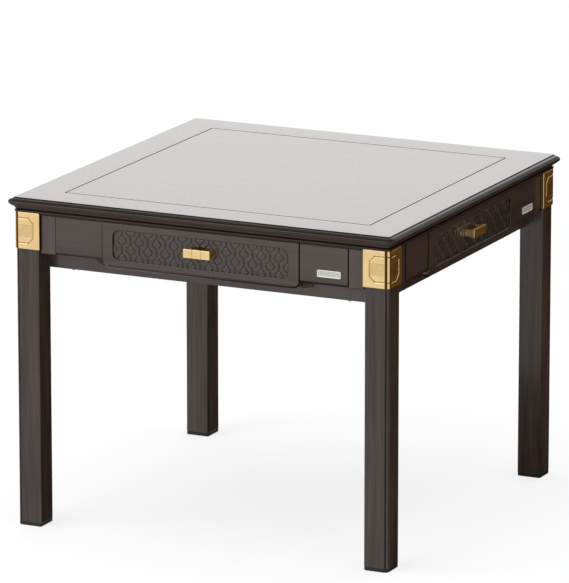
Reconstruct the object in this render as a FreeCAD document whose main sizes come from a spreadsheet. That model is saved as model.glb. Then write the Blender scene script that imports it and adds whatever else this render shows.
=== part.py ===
"""Automatic mahjong table with a lift-off dining cover and four shallow drawers.

Millimetres. The origin is on the floor under the middle of the table, +Z is up and -Y is the front.
The four sides are alike, and so are the four corners: each piece is drawn in the place of the front,
or of the front right corner, and turned about Z. On the XZ plane a sketch's offset counts towards
the front.
"""

import math
import os
from types import SimpleNamespace

import FreeCAD, Part
import Sketcher

SIZES = {
    # heights, each counted from the level below it
    "box_bottom": 596,
    "box_drop": 38,
    "apron_height": 94,
    "rim_height": 16.7,
    "cover_gap": 0.3,
    "cover_wall": 15,
    # legs and feet; leg_outer runs from the middle of the table to a leg's outer face
    "leg_outer": 458,
    "leg_side": 58,
    "leg_bead": 9,
    "leg_quirk": 1.5,
    "foot_height": 8,
    "foot_inset": 0.5,
    "foot_edge": 1.5,
    # brass corner caps
    "cap_wall": 3,
    "cap_fit": 0.3,
    "cap_top_gap": 1,
    "cap_height": 84,
    "cap_return": 9,
    "cap_line_reach": 30,
    "cap_line_width": 1.4,
    "cap_line_depth": 0.7,
    "cap_line_margin": 11,
    "cap_line_cut": 13,
    # top rim, four mitred rails that overhang the legs
    "rim_overhang": 8.5,
    "rim_width": 62.5,
    "rim_nose": 3,
    "rim_cove": 6,
    "rim_corner": 12,
    # dining cover: a bead under a board that is set in from it
    "bead_overhang": 8.5,
    "bead_height": 8,
    "bead_bevel": 2.4,
    "bead_corner": 16,
    "board_inset": 8,
    "board_bevel": 5,
    "board_corner": 12,
    "line_inset": 91,
    "line_width": 3,
    "line_depth": 1.5,
    "cover_cleat_length": 220,
    "cover_cleat_width": 18,
    "cover_cleat_height": 9,
    "cover_cleat_gap": 2,
    # apron: boards set back from the legs, and the posts and panels on them
    "board_setback": 23,
    "board_wall": 22,
    "board_end_gap": 0.5,
    "ear_drop": 16,
    "ear_run": 40,
    "ear_foot": 3.5,
    "post_wall": 18,
    "post_width": 36.7,
    "post_end_gap": 0.5,
    "panel_wall": 20,
    "panel_width": 116,
    "panel_gap": 1,
    "panel_top_gap": 5.5,
    "panel_round": 9,
    "plate_length": 57,
    "plate_height": 16,
    "plate_wall": 1.5,
    "plate_end_inset": 16.5,
    "plate_rise": 19,
    # lower rails, corner blocks and the base pan
    "rail_gap": 1,
    "rail_wall": 12,
    "rail_lap": 12,
    "notch_gap": 2,
    "notch_side_gap": 1.5,
    "corner_block_side": 56,
    "corner_block_height": 24,
    "pan_inset": 3,
    "pan_leg_gap": 0.5,
    "pan_wall": 1.5,
    "vent_length": 90,
    "vent_width": 6,
    "vent_pitch": 16,
    "vent_count": 5,
    "vent_inset": 109,
    "screw_inset": 60,
    "screw_radius": 2,
    "screw_gap": 0.3,
    "screw_depth": 10,
    "screw_head_radius": 4,
    "screw_head_height": 2,
    # drawers
    "front_side_gap": 1.5,
    "front_back_gap": 2,
    "front_wall": 20,
    "front_top_gap": 5.5,
    "front_corner": 18,
    "front_round": 11,
    "carve_side_margin": 27,
    "carve_bottom_margin": 21,
    "carve_top_margin": 14.5,
    "carve_corner": 16,
    "carve_depth": 4,
    "bay_side_gap": 1.5,
    "bay_top_gap": 4,
    "bay_head": 26,
    "tray_side_gap": 1.5,
    "tray_rise": 2,
    "tray_depth": 135,
    "tray_wall": 10,
    "tray_floor": 6,
    "runner_rise": 36,
    "runner_height": 10,
    "runner_depth": 6,
    "runner_gap": 0.3,
    "runner_front_gap": 1,
    "runner_post": 16,
    "runner_post_head": 16,
    # drawer pulls
    "pull_length": 65,
    "pull_height": 20,
    "pull_wall": 9,
    "pull_stand": 22,
    "pull_foot": 9,
    "pull_rise": 3.5,
    "pull_edge": 1.5,
    # playing deck
    "deck_side_gap": 1,
    "deck_wall": 10,
    "deck_gap": 2,
    "deck_leg_gap": 0.5,
    "cloth_wall": 1.5,
    "deck_cleat_gap": 5,
    "deck_cleat_width": 14,
    "deck_cleat_height": 13,
    "slot_tray_gap": 26,
    "slot_width": 46,
    "slot_bridge": 7,
    "slot_end_inset": 9,
    # tile lifts
    "lift_gap": 1,
    "lift_wall": 8,
    "lift_post_side": 11,
    "lift_post_inset": 67,
    "lift_post_length": 69,
    "guide_side": 24,
    "guide_height": 70,
    "guide_gap": 0.3,
    "lift_motor_length": 64,
    "lift_motor_width": 36,
    "lift_motor_height": 36,
    # centre console
    "well_gap": 1,
    "console_radius": 130,
    "console_step": 3,
    "console_wall": 12,
    "dice_well_radius": 40,
    "dice_well_depth": 14,
    "column_wall": 8.5,
    "column_length": 81.5,
    "boss_height": 12,
    "mast_radius": 45,
    "mast_gap": 0.5,
    "mast_top_gap": 6.5,
    "dome_height": 11,
    "dome_wall": 1.8,
    "dome_seat": 4,
    "dice_side": 12,
    "dice_place": 10,
    "key_length": 52,
    "key_width": 18,
    "key_gap": 0.5,
    "key_depth": 8,
    "key_travel": 2,
    "key_rise": 0.8,
    "key_inset": 44,
    # shuffling drum and its drive
    "drum_motor_gap": 13,
    "drum_column_gap": 4,
    "drum_wall": 3,
    "drum_lift": 18,
    "drum_floor": 4,
    "drum_height": 68,
    "drum_hub_height": 36,
    "bearing_ledge": 22,
    "bearing_gap": 0.3,
    "wheel_radius": 20,
    "wheel_lift": 6,
    "wheel_height": 16,
    "wheel_gap": 0.3,
    "wheel_shaft_side": 7,
    "drive_motor_side": 46,
    "drive_motor_height": 16,
    # electrics in the corners of the pan
    "corner_inset": 70,
    "circuit_side": 88,
    "circuit_wall": 1.6,
    "circuit_lift": 8,
    "standoff_inset": 8,
    "standoff_side": 6,
    "chip_side": 30,
    "chip_height": 7,
    "supply_side": 76,
    "supply_height": 24,
    "inlet_wall": 4,
    "inlet_rib": 8.4,
    "inlet_side_wall": 6.5,
    "inlet_height": 24,
    "inlet_flange": 2,
    "inlet_gap": 0.3,
    "socket_length": 24,
    "socket_width": 17,
    "socket_depth": 15,
    "blade_width": 4,
    "blade_wall": 2,
    "blade_length": 10,
    "blade_spread": 7,
    "rocker_length": 16,
    "rocker_width": 11,
    "rocker_height": 7,
    "rocker_dip": 1,
    "rocker_gap": 0.8,
    "rocker_pin_radius": 1.2,
    "rocker_pin_gap": 0.2,
}

SIDES = ["front", "right", "back", "left"]
CORNERS = ["front_right", "back_right", "back_left", "front_left"]


class Size:
    """A length together with the spreadsheet formula that gives it."""

    def __init__(self, value, formula=None):
        self.value = float(value)
        self.formula = formula or repr(float(value))

    def joined(self, sign, value, other):
        return Size(value, f"({self.formula} {sign} {other.formula})")

    def __add__(self, other):
        other = as_size(other)
        return self.joined("+", self.value + other.value, other)

    def __sub__(self, other):
        other = as_size(other)
        return self.joined("-", self.value - other.value, other)

    def __mul__(self, other):
        other = as_size(other)
        return self.joined("*", self.value * other.value, other)

    def __truediv__(self, other):
        other = as_size(other)
        return self.joined("/", self.value / other.value, other)

    def __radd__(self, other):
        return as_size(other) + self

    def __rsub__(self, other):
        return as_size(other) - self

    def __rmul__(self, other):
        return as_size(other) * self

    def __neg__(self):
        return as_size(0) - self


def as_size(value):
    """Any number as a Size."""
    return value if isinstance(value, Size) else Size(value)


def size_value(value):
    return as_size(value).value


doc = FreeCAD.newDocument("MahjongTable")
sheet = doc.addObject("Spreadsheet::Sheet", "Sizes")
for row, (alias, number) in enumerate(SIZES.items(), start=1):
    sheet.set(f"A{row}", alias)
    sheet.set(f"B{row}", str(number))
    sheet.setAlias(f"B{row}", alias)
doc.recompute()

d = SimpleNamespace(**{alias: Size(number, f"Sizes.{alias}") for alias, number in SIZES.items()})
# levels, from the floor upwards
d.apron_bottom = d.box_bottom + d.box_drop
d.rim_bottom = d.apron_bottom + d.apron_height
d.rim_top = d.rim_bottom + d.rim_height
d.cover_bottom = d.rim_top + d.cover_gap
d.cover_top = d.cover_bottom + d.cover_wall
d.front_bottom = d.apron_bottom - d.ear_drop
d.rail_top = d.apron_bottom + d.rail_lap
d.notch_bottom = d.front_bottom - d.notch_gap
d.bay_top = d.rim_bottom - d.bay_head
d.tray_bottom = d.front_bottom + d.tray_rise
d.runner_bottom = d.tray_bottom + d.runner_rise
d.deck_top = d.rim_bottom - d.deck_gap
d.deck_bottom = d.deck_top - d.deck_wall
d.cloth_top = d.deck_top + d.cloth_wall
d.console_top = d.cloth_top + d.console_step
d.console_bottom = d.console_top - d.console_wall
d.boss_bottom = d.console_bottom - d.boss_height
d.drum_bottom = d.box_bottom + d.drum_lift
# distances from the middle of the table, from the legs inwards
d.leg_inner = d.leg_outer - d.leg_side
d.rim_outer = d.leg_outer + d.rim_overhang
d.rim_inner = d.rim_outer - d.rim_width
d.board_face = d.leg_outer - d.board_setback
d.board_back = d.board_face - d.board_wall
d.rail_face = d.board_back - d.rail_gap
d.rail_back = d.rail_face - d.rail_wall
d.front_back = d.board_face + d.front_back_gap
d.front_face = d.front_back + d.front_wall
d.carve_floor = d.front_face - d.carve_depth
d.tray_back = d.front_back - d.tray_depth
d.corner_place = d.rail_back - d.corner_inset
# along one side: post, panel, drawer front, bay and tray
d.post_end = d.leg_inner - d.cap_fit - d.cap_wall - d.post_end_gap
d.post_start = d.post_end - d.post_width
d.panel_end = d.post_start - d.panel_gap
d.panel_start = d.panel_end - d.panel_width
d.front_half = d.panel_start - d.front_side_gap
d.bay_half = d.front_half - d.bay_side_gap
d.tray_half = d.bay_half - d.tray_side_gap
# the slots, from the trays inwards: each passes the next one's end
d.slot_place = d.tray_back - d.slot_tray_gap - d.slot_width / 2
d.slot_start = d.slot_bridge - d.slot_place + d.slot_width / 2
d.slot_end = d.slot_place + d.slot_width / 2 - d.slot_end_inset
d.slot_middle = (d.slot_start + d.slot_end) / 2
# the middle of the machine
d.bore_radius = d.mast_radius + d.mast_gap
d.column_radius = d.bore_radius + d.column_wall
d.well_radius = d.console_radius + d.well_gap
d.key_place = d.console_radius - d.key_inset
d.drum_hole = d.column_radius + d.drum_column_gap
d.drum_radius = d.slot_place - d.lift_motor_width / 2 - d.drum_motor_gap
HALF = math.sqrt(0.5)
TOLERANCE = 0.01

nodes = []


# ---- working tools ----

def bind(thing, name, value):
    """Ties one property of an object to the sheet."""
    thing.setExpression(name, as_size(value).formula)


def place(thing, x, y, z):
    bind(thing, ".Placement.Base.x", x)
    bind(thing, ".Placement.Base.y", y)
    bind(thing, ".Placement.Base.z", z)


def block(name, low, high):
    """A block between two opposite corners."""
    made = doc.addObject("Part::Box", name)
    for prop, start, end in zip(("Length", "Width", "Height"), low, high):
        bind(made, prop, as_size(end) - start)
    place(made, *low)
    return made


def rod(name, radius, base, length):
    """An upright cylinder on its base point."""
    made = doc.addObject("Part::Cylinder", name)
    bind(made, "Radius", radius)
    bind(made, "Height", length)
    place(made, *base)
    return made


def fused(name, *pieces):
    made = doc.addObject("Part::MultiFuse", name)
    made.Shapes = list(pieces)
    return made


def cut(name, base, tool):
    made = doc.addObject("Part::Cut", name)
    made.Base = base
    made.Tool = tool
    return made


def group(name, *pieces):
    """Separate solids that share one node."""
    made = doc.addObject("Part::Compound", name)
    made.Links = list(pieces)
    return made


def turned(thing, quarters):
    """Turns a piece about Z by quarter turns."""
    thing.Placement = FreeCAD.Placement(
        FreeCAD.Vector(), FreeCAD.Rotation(FreeCAD.Vector(0, 0, 1), 90 * quarters)
    )
    return thing


def node(thing, label):
    """Names a finished piece and lists it as a sub-part."""
    thing.Label = label
    nodes.append(thing)
    return thing


def new_body(name):
    return doc.addObject("PartDesign::Body", name)


def sketch_on(body, plane, offset=0):
    """An empty sketch on one of a body's own planes, moved along the plane's normal."""
    sketch = body.newObject("Sketcher::SketchObject", body.Name + "_sketch")
    origin_plane = next(f for f in body.Origin.OriginFeatures if f.Role == plane)
    sketch.AttachmentSupport = [(origin_plane, "")]
    sketch.MapMode = "FlatFace"
    bind(sketch, ".AttachmentOffset.Base.z", offset)
    sketch.Visibility = False
    return sketch


def hold(sketch, kind, item, corner, value):
    """Fixes one coordinate of a sketch point."""
    limit = Sketcher.Constraint(kind, -1, 1, item, corner, as_size(value).value)
    bind(sketch, f"Constraints[{sketch.addConstraint(limit)}]", value)


class Arc:
    """A round step of an outline, about a centre to its end point."""

    def __init__(self, centre, end, left=True):
        self.centre = centre
        self.end = end
        self.left = left


def vector(point):
    return FreeCAD.Vector(as_size(point[0]).value, as_size(point[1]).value, 0)


def draw(sketch, start, *steps):
    """Draws one closed loop from start through the steps. A straight run closes it, if the last step doesn't.

    A step is a point, or an Arc that turns left or right. Each point is tied to the sheet.
    """
    first = before = None
    here = start
    steps = list(steps)
    last = steps[-1]
    closed = isinstance(last, Arc) and (vector(last.end) - vector(start)).Length < TOLERANCE
    if not closed:
        steps.append(start)
    for step in steps:
        is_last = step is steps[-1]
        is_arc = isinstance(step, Arc)
        add = add_arc if is_arc else add_line
        item, start_corner, end_corner = add(sketch, here, step)
        here = step.end if is_arc else step
        if first is None:
            first = (item, start_corner)
            hold(sketch, "DistanceX", item, start_corner, start[0])
            hold(sketch, "DistanceY", item, start_corner, start[1])
        else:
            sketch.addConstraint(Sketcher.Constraint("Coincident", *before, item, start_corner))
        if is_arc:
            hold(sketch, "DistanceX", item, 3, step.centre[0])
        if is_arc and not is_last:
            hold(sketch, "DistanceY", item, 3, step.centre[1])
            a, c = vector(here), vector(step.centre)
            upright = abs(a.y - c.y) > abs(a.x - c.x)
            hold(sketch, "DistanceX" if upright else "DistanceY", item, end_corner, here[0 if upright else 1])
        elif not is_last:
            hold(sketch, "DistanceX", item, end_corner, here[0])
            hold(sketch, "DistanceY", item, end_corner, here[1])
        before = (item, end_corner)
    sketch.addConstraint(Sketcher.Constraint("Coincident", *before, *first))
    return sketch


def add_line(sketch, start, end):
    """A straight run. Returns its number and the numbers of its two ends."""
    return sketch.addGeometry(Part.LineSegment(vector(start), vector(end))), 1, 2


def add_arc(sketch, start, arc):
    """A round run. Returns its number and the numbers of its two ends."""
    a, b, c = vector(start), vector(arc.end), vector(arc.centre)
    circle = Part.Circle(c, FreeCAD.Vector(0, 0, 1), (a - c).Length)
    angles = [math.atan2(p.y - c.y, p.x - c.x) for p in (a, b)]
    if not arc.left:
        angles.reverse()
    item = sketch.addGeometry(Part.ArcOfCircle(circle, *angles))
    return (item, 1, 2) if arc.left else (item, 2, 1)


def draw_rectangle(sketch, low, high):
    return draw(sketch, low, (high[0], low[1]), high, (low[0], high[1]))


def draw_rounded(sketch, low, high, radius):
    """A rectangle with four round corners."""
    (x0, y0), (x1, y1) = low, high
    r = radius
    return draw(
        sketch, (x0 + r, y0),
        (x1 - r, y0), Arc((x1 - r, y0 + r), (x1, y0 + r)),
        (x1, y1 - r), Arc((x1 - r, y1 - r), (x1 - r, y1)),
        (x0 + r, y1), Arc((x0 + r, y1 - r), (x0, y1 - r)),
        (x0, y0 + r), Arc((x0 + r, y0 + r), (x0 + r, y0)),
    )


def draw_circle(sketch, centre, radius):
    item = sketch.addGeometry(Part.Circle(vector(centre), FreeCAD.Vector(0, 0, 1), as_size(radius).value))
    hold(sketch, "DistanceX", item, 3, centre[0])
    hold(sketch, "DistanceY", item, 3, centre[1])
    limit = Sketcher.Constraint("Radius", item, as_size(radius).value)
    bind(sketch, f"Constraints[{sketch.addConstraint(limit)}]", radius)
    return sketch


def pad(body, sketch, length, middle=False):
    """Grows a sketch along its normal."""
    made = body.newObject("PartDesign::Pad", body.Name + "_pad")
    made.Profile = sketch
    made.Midplane = middle
    bind(made, "Length", length)
    doc.recompute()
    return made


def pocket(body, sketch, depth, middle=False):
    """Sinks a sketch into the body, against its normal."""
    before = body.Shape.Volume
    made = body.newObject("PartDesign::Pocket", body.Name + "_pocket")
    made.Profile = sketch
    made.Midplane = middle
    bind(made, "Length", depth)
    doc.recompute()
    if body.Shape.Volume > before - 1e-6:
        raise ValueError(f"{made.Name} cuts nothing")
    return made


def revolve(body, sketch):
    """Turns a sketch once about its upright axis."""
    made = body.newObject("PartDesign::Revolution", body.Name + "_turn")
    made.Profile = sketch
    made.ReferenceAxis = (sketch, ["V_Axis"])
    made.Angle = 360
    doc.recompute()
    return made


def soften(body, kind, size, wanted):
    """Fillets or chamfers the edges of a body's tip whose middle passes the wanted test."""
    tip = body.Tip
    names = []
    for count, edge in enumerate(tip.Shape.Edges, start=1):
        middle = edge.valueAt((edge.FirstParameter + edge.LastParameter) / 2)
        if wanted(middle, edge):
            names.append(f"Edge{count}")
    made = body.newObject("PartDesign::" + kind, body.Name + "_" + kind.lower())
    made.Base = (tip, names)
    bind(made, "Radius" if kind == "Fillet" else "Size", size)
    doc.recompute()
    return made


def near(a, b):
    return abs(a - as_size(b).value) < TOLERANCE


# ---- legs, feet and corner caps ----

def leg(quarters):
    """A square leg with a bead between two quirks down its outer corner."""
    body = new_body("Leg")
    o, i, r, q = d.leg_outer, d.leg_inner, d.leg_bead, d.leg_quirk
    sketch = sketch_on(body, "XY_Plane", d.foot_height)
    draw(
        sketch, (i, -o), (o - r - q, -o), (o - r - q, q - o), (o - r, q - o), (o - r, -o),
        Arc((o - r, r - o), (o, r - o)), (o - q, r - o), (o - q, r + q - o), (o, r + q - o), (o, -i), (i, -i),
    )
    pad(body, sketch, d.rim_bottom - d.foot_height)
    node(turned(body, quarters), "leg_" + CORNERS[quarters])


def foot(quarters):
    """A black pad under a leg, its lower edge eased."""
    body = new_body("Foot")
    low = d.leg_inner + d.foot_inset
    high = d.leg_outer - d.foot_inset
    draw_rectangle(sketch_on(body, "XY_Plane"), (low, -high), (high, -low))
    pad(body, body.Group[-1], d.foot_height)
    soften(body, "Chamfer", d.foot_edge, lambda middle, edge: near(middle.z, 0))
    return turned(body, quarters)


def cap_line(sketch, sign):
    """The engraved line on one face of a cap: half of an eight-sided frame, open at the corner."""
    far = d.leg_outer - d.leg_bead
    start = far - d.cap_line_reach
    high = d.rim_bottom - d.cap_top_gap - d.cap_line_margin
    low = high + 2 * d.cap_line_margin - d.cap_height
    step, wide = d.cap_line_cut, d.cap_line_width
    bevel = step - wide * (math.sqrt(2) - 1) * math.sqrt(2) / 2
    inner = start + wide
    points = [
        (far, low), (far, low + wide), (inner + bevel, low + wide), (inner, low + wide + bevel),
        (inner, high - wide - bevel), (inner + bevel, high - wide), (far, high - wide), (far, high),
        (start + step, high), (start, high - step), (start, low + step), (start + step, low),
    ]
    points = [(sign * x, z) for x, z in points]
    draw(sketch, *points)
    return sketch


def corner_cap(quarters):
    """A folded brass cap round the top of a leg, with a short return on each inner side."""
    body = new_body("CornerCap")
    inside = d.leg_outer + d.cap_fit
    outside = inside + d.cap_wall
    edge = d.leg_inner - d.cap_fit
    end = edge - d.cap_wall
    centre = d.leg_outer - d.leg_bead
    back = outside - d.cap_return
    sketch = sketch_on(body, "XY_Plane", d.rim_bottom - d.cap_top_gap - d.cap_height)
    draw(
        sketch, (end, -outside), (centre, -outside), Arc((centre, -centre), (outside, -centre)),
        (outside, -end), (back, -end), (back, -edge), (inside, -edge), (inside, -centre),
        Arc((centre, -centre), (centre, -inside), left=False), (edge, -inside), (edge, -back), (end, -back),
    )
    pad(body, sketch, d.cap_height)
    pocket(body, cap_line(sketch_on(body, "XZ_Plane", outside), 1), d.cap_line_depth)
    pocket(body, cap_line(sketch_on(body, "YZ_Plane", outside), -1), d.cap_line_depth)
    node(turned(body, quarters), "corner_cap_" + CORNERS[quarters])


# ---- top rim ----

def rim_rail(quarters):
    """One mitred rail: a moulded length cut to its plan."""
    length = new_body("RimProfile")
    shoulder = d.rim_outer - d.rim_cove
    cove_end = d.rim_top - d.rim_nose
    cove_start = cove_end - d.rim_cove
    sketch = sketch_on(length, "YZ_Plane")
    draw(
        sketch, (-shoulder, d.rim_bottom), (-d.rim_inner, d.rim_bottom), (-d.rim_inner, d.rim_top),
        (-d.rim_outer, d.rim_top), (-d.rim_outer, cove_end),
        Arc((-d.rim_outer, cove_start), (-shoulder, cove_start), left=False),
    )
    pad(length, sketch, 2 * d.rim_outer, middle=True)

    plan = new_body("RimPlan")
    straight = d.rim_outer - d.rim_corner
    mitre = straight + d.rim_corner * HALF
    sketch = sketch_on(plan, "XY_Plane", d.rim_bottom)
    draw(
        sketch, (-straight, -d.rim_outer), (straight, -d.rim_outer),
        Arc((straight, -straight), (mitre, -mitre)), (d.rim_inner, -d.rim_inner),
        (-d.rim_inner, -d.rim_inner), (-mitre, -mitre), Arc((-straight, -straight), (-straight, -d.rim_outer)),
    )
    pad(plan, sketch, d.rim_top - d.rim_bottom)

    rail = doc.addObject("Part::MultiCommon", "RimRail")
    rail.Shapes = [length, plan]
    return turned(rail, quarters)


# ---- dining cover ----

def dining_cover():
    """A board on a wider bead, both bevelled, with an incised line round its top."""
    body = new_body("DiningCover")
    bead = d.rim_outer + d.bead_overhang
    draw_rounded(sketch_on(body, "XY_Plane", d.cover_bottom), (-bead, -bead), (bead, bead), d.bead_corner)
    pad(body, body.Group[-1], d.bead_height)
    soften(body, "Chamfer", d.bead_bevel, lambda middle, edge: near(edge.BoundBox.ZLength, 0))
    board = bead - d.board_inset
    top = d.cover_bottom + d.bead_height
    sketch = sketch_on(body, "XY_Plane", top)
    draw_rounded(sketch, (-board, -board), (board, board), d.board_corner)
    pad(body, sketch, d.cover_wall - d.bead_height)
    soften(
        body, "Chamfer", d.board_bevel,
        lambda middle, edge: near(middle.z, d.cover_top) and near(edge.BoundBox.ZLength, 0),
    )
    sketch = sketch_on(body, "XY_Plane", d.cover_top)
    line = board - d.line_inset
    for half in (line, line - d.line_width):
        draw_rectangle(sketch, (-half, -half), (half, half))
    pocket(body, sketch, d.line_depth)
    node(body, "dining_cover")


def cover_cleat(quarters):
    """A strip under the cover that drops just inside the rim."""
    outer = d.rim_inner - d.cover_cleat_gap
    low = (-d.cover_cleat_length / 2, -outer, d.cover_bottom - d.cover_cleat_height)
    high = (d.cover_cleat_length / 2, d.cover_cleat_width - outer, d.cover_bottom)
    return turned(group("CoverCleatSide", block("CoverCleat", low, high)), quarters)


# ---- apron ----

def apron_board(quarters):
    """The board behind the panels, open below for the drawer, with an ogee ear each side of the bay."""
    body = new_body("ApronBoard")
    end = d.leg_inner - d.board_end_gap
    ear_end = d.bay_half + d.ear_foot
    ear_start = ear_end + d.ear_run
    run = d.ear_run / 2
    drop = d.ear_drop / 2
    radius = (run * run + drop * drop) / (2 * drop)
    middle = (ear_end + run, d.front_bottom + drop)
    high_centre = (ear_start, d.apron_bottom - radius)
    low_centre = (ear_end, d.front_bottom + radius)

    def mirror(point):
        return (-point[0], point[1])

    sketch = sketch_on(body, "XZ_Plane", d.board_back)
    draw(
        sketch, (-end, d.apron_bottom), (-ear_start, d.apron_bottom),
        Arc(mirror(high_centre), mirror(middle), left=False),
        Arc(mirror(low_centre), (-ear_end, d.front_bottom)),
        (-d.bay_half, d.front_bottom), (-d.bay_half, d.bay_top), (d.bay_half, d.bay_top),
        (d.bay_half, d.front_bottom), (ear_end, d.front_bottom),
        Arc(low_centre, middle), Arc(high_centre, (ear_start, d.apron_bottom), left=False),
        (end, d.apron_bottom), (end, d.rim_bottom), (-end, d.rim_bottom),
    )
    pad(body, sketch, d.board_wall)
    return turned(body, quarters)


def facing(name, wall, start, end):
    """A facing piece on an apron board, its lower edge rounded. It runs along X from start to end."""
    body = new_body(name)
    face = d.board_face + wall
    sketch = sketch_on(body, "YZ_Plane", start)
    top = d.rim_bottom - d.panel_top_gap
    curve = d.apron_bottom + d.panel_round
    draw(
        sketch, (d.panel_round - face, d.apron_bottom), (-d.board_face, d.apron_bottom), (-d.board_face, top),
        (-face, top), (-face, curve),
        Arc((d.panel_round - face, curve), (d.panel_round - face, d.apron_bottom)),
    )
    pad(body, sketch, end - start)
    return body


def facing_pair(name, wall, start, end, quarters):
    """The same facing piece right and left of the drawer."""
    pair = group(name + "Pair", facing(name, wall, start, end), facing(name, wall, -end, -start))
    return turned(pair, quarters)


def plate(quarters):
    """A small bare plate on the right-hand panel of a side."""
    end = d.panel_end - d.plate_end_inset
    face = d.board_face + d.panel_wall
    bottom = d.apron_bottom + d.plate_rise
    low = (end - d.plate_length, -face - d.plate_wall, bottom)
    high = (end, -face, bottom + d.plate_height)
    return turned(group("PlateSide", block("Plate", low, high)), quarters)


# ---- machine box under the apron ----

def lower_rail(quarters):
    """A rail between two legs, notched where the drawer passes over it."""
    body = new_body("LowerRail")
    notch = d.bay_half + d.runner_post + d.notch_side_gap
    sketch = sketch_on(body, "XZ_Plane", d.rail_back)
    draw(
        sketch, (-d.leg_inner, d.box_bottom), (d.leg_inner, d.box_bottom), (d.leg_inner, d.rail_top),
        (notch, d.rail_top), (notch, d.notch_bottom), (-notch, d.notch_bottom), (-notch, d.rail_top),
        (-d.leg_inner, d.rail_top),
    )
    pad(body, sketch, d.rail_wall)
    return turned(body, quarters)


def corner_block(quarters):
    """A three-sided block glued into the corner between two lower rails."""
    body = new_body("CornerBlock")
    corner = d.rail_back
    sketch = sketch_on(body, "XY_Plane", d.rail_top - d.corner_block_height)
    side = d.corner_block_side
    draw(sketch, (corner, -corner), (corner, side - corner), (corner - side, -corner))
    pad(body, sketch, d.corner_block_height)
    return turned(body, quarters)


def draw_notched(sketch, half, notch):
    """A square whose corners are cut out round the four legs."""
    w, n = half, notch
    return draw(
        sketch, (-n, -w), (n, -w), (n, -n), (w, -n), (w, n), (n, n), (n, w), (-n, w), (-n, n), (-w, n),
        (-w, -n), (-n, -n),
    )


def base_pan():
    """A sheet under the machine, with rows of vents and a hole for the mains inlet."""
    body = new_body("BasePan")
    half = d.rail_face - d.pan_inset
    sketch = sketch_on(body, "XY_Plane", d.box_bottom - d.pan_wall)
    draw_notched(sketch, half, d.leg_inner - d.pan_leg_gap)
    pad(body, sketch, d.pan_wall)
    sketch = sketch_on(body, "XY_Plane", d.box_bottom)
    draw_rectangle(sketch, *inlet_corners(d.inlet_gap))
    pocket(body, sketch, d.pan_wall)
    for sign in (-1, 1):
        sketch = sketch_on(body, "XY_Plane", d.box_bottom)
        y = sign * (half - d.vent_inset)
        first = -d.vent_pitch * (d.vent_count - 1) / 2
        low = (first - d.vent_width / 2, y - d.vent_length / 2)
        high = (first + d.vent_width / 2, y + d.vent_length / 2)
        draw_rectangle(sketch, low, high)
        vent = pocket(body, sketch, d.pan_wall)
        row = body.newObject("PartDesign::LinearPattern", "VentRow")
        row.Originals = [vent]
        row.Direction = (sketch, ["H_Axis"])
        bind(row, "Length", d.vent_pitch * (d.vent_count - 1))
        bind(row, "Occurrences", d.vent_count)
        body.Tip = row
        doc.recompute()
    screw_holes(body)
    node(body, "base_pan")


def screw_places():
    """The pan's screws: two up into the front lower rail and two into the back one."""
    x = d.leg_inner - d.screw_inset
    y = d.rail_back + d.rail_wall / 2
    return [(x, -y), (x, y), (-x, y), (-x, -y)]


def screw_holes(body):
    """Clearance holes through the pan for the screws' shanks."""
    sketch = sketch_on(body, "XY_Plane", d.box_bottom)
    for x, y in screw_places():
        draw_circle(sketch, (x, y), d.screw_radius + d.screw_gap)
    pocket(body, sketch, d.pan_wall)


def pan_screws():
    """Hexagon-headed screws that go up through the pan and bite into the lower rails."""
    screws = []
    bottom = d.box_bottom - d.pan_wall
    shank = d.pan_wall + d.screw_depth
    for x, y in screw_places():
        head = doc.addObject("Part::Prism", "ScrewHead")
        head.Polygon = 6
        bind(head, "Circumradius", d.screw_head_radius)
        bind(head, "Height", d.screw_head_height)
        place(head, x, y, bottom - d.screw_head_height)
        screws.append(fused("Screw", head, rod("ScrewShank", d.screw_radius, (x, y, bottom), shank)))
    node(group("PanScrews", *screws), "pan_screws")


# ---- drawers ----

def drawer_front(quarters):
    """A front with round lower corners, a rounded lower edge and a sunk field for the carving."""
    body = new_body("DrawerFront")
    w, r, low, high = d.front_half, d.front_corner, d.front_bottom, d.rim_bottom - d.front_top_gap
    sketch = sketch_on(body, "XZ_Plane", d.front_back)
    draw(
        sketch, (r - w, low), (w - r, low), Arc((w - r, low + r), (w, low + r)), (w, high), (-w, high),
        (-w, low + r), Arc((r - w, low + r), (r - w, low)),
    )
    pad(body, sketch, d.front_wall)
    edge = d.front_round
    sketch = sketch_on(body, "YZ_Plane")
    draw(
        sketch, (-d.front_face, low), (edge - d.front_face, low),
        Arc((edge - d.front_face, low + edge), (-d.front_face, low + edge), left=False),
    )
    pocket(body, sketch, 2 * w, middle=True)
    sketch = sketch_on(body, "XZ_Plane", d.front_face)
    side = w - d.carve_side_margin
    bottom, top = low + d.carve_bottom_margin, high - d.carve_top_margin
    draw_rounded(sketch, (-side, bottom), (side, top), d.carve_corner)
    pocket(body, sketch, d.carve_depth)
    node(turned(body, quarters), "drawer_front_" + SIDES[quarters])


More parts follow.
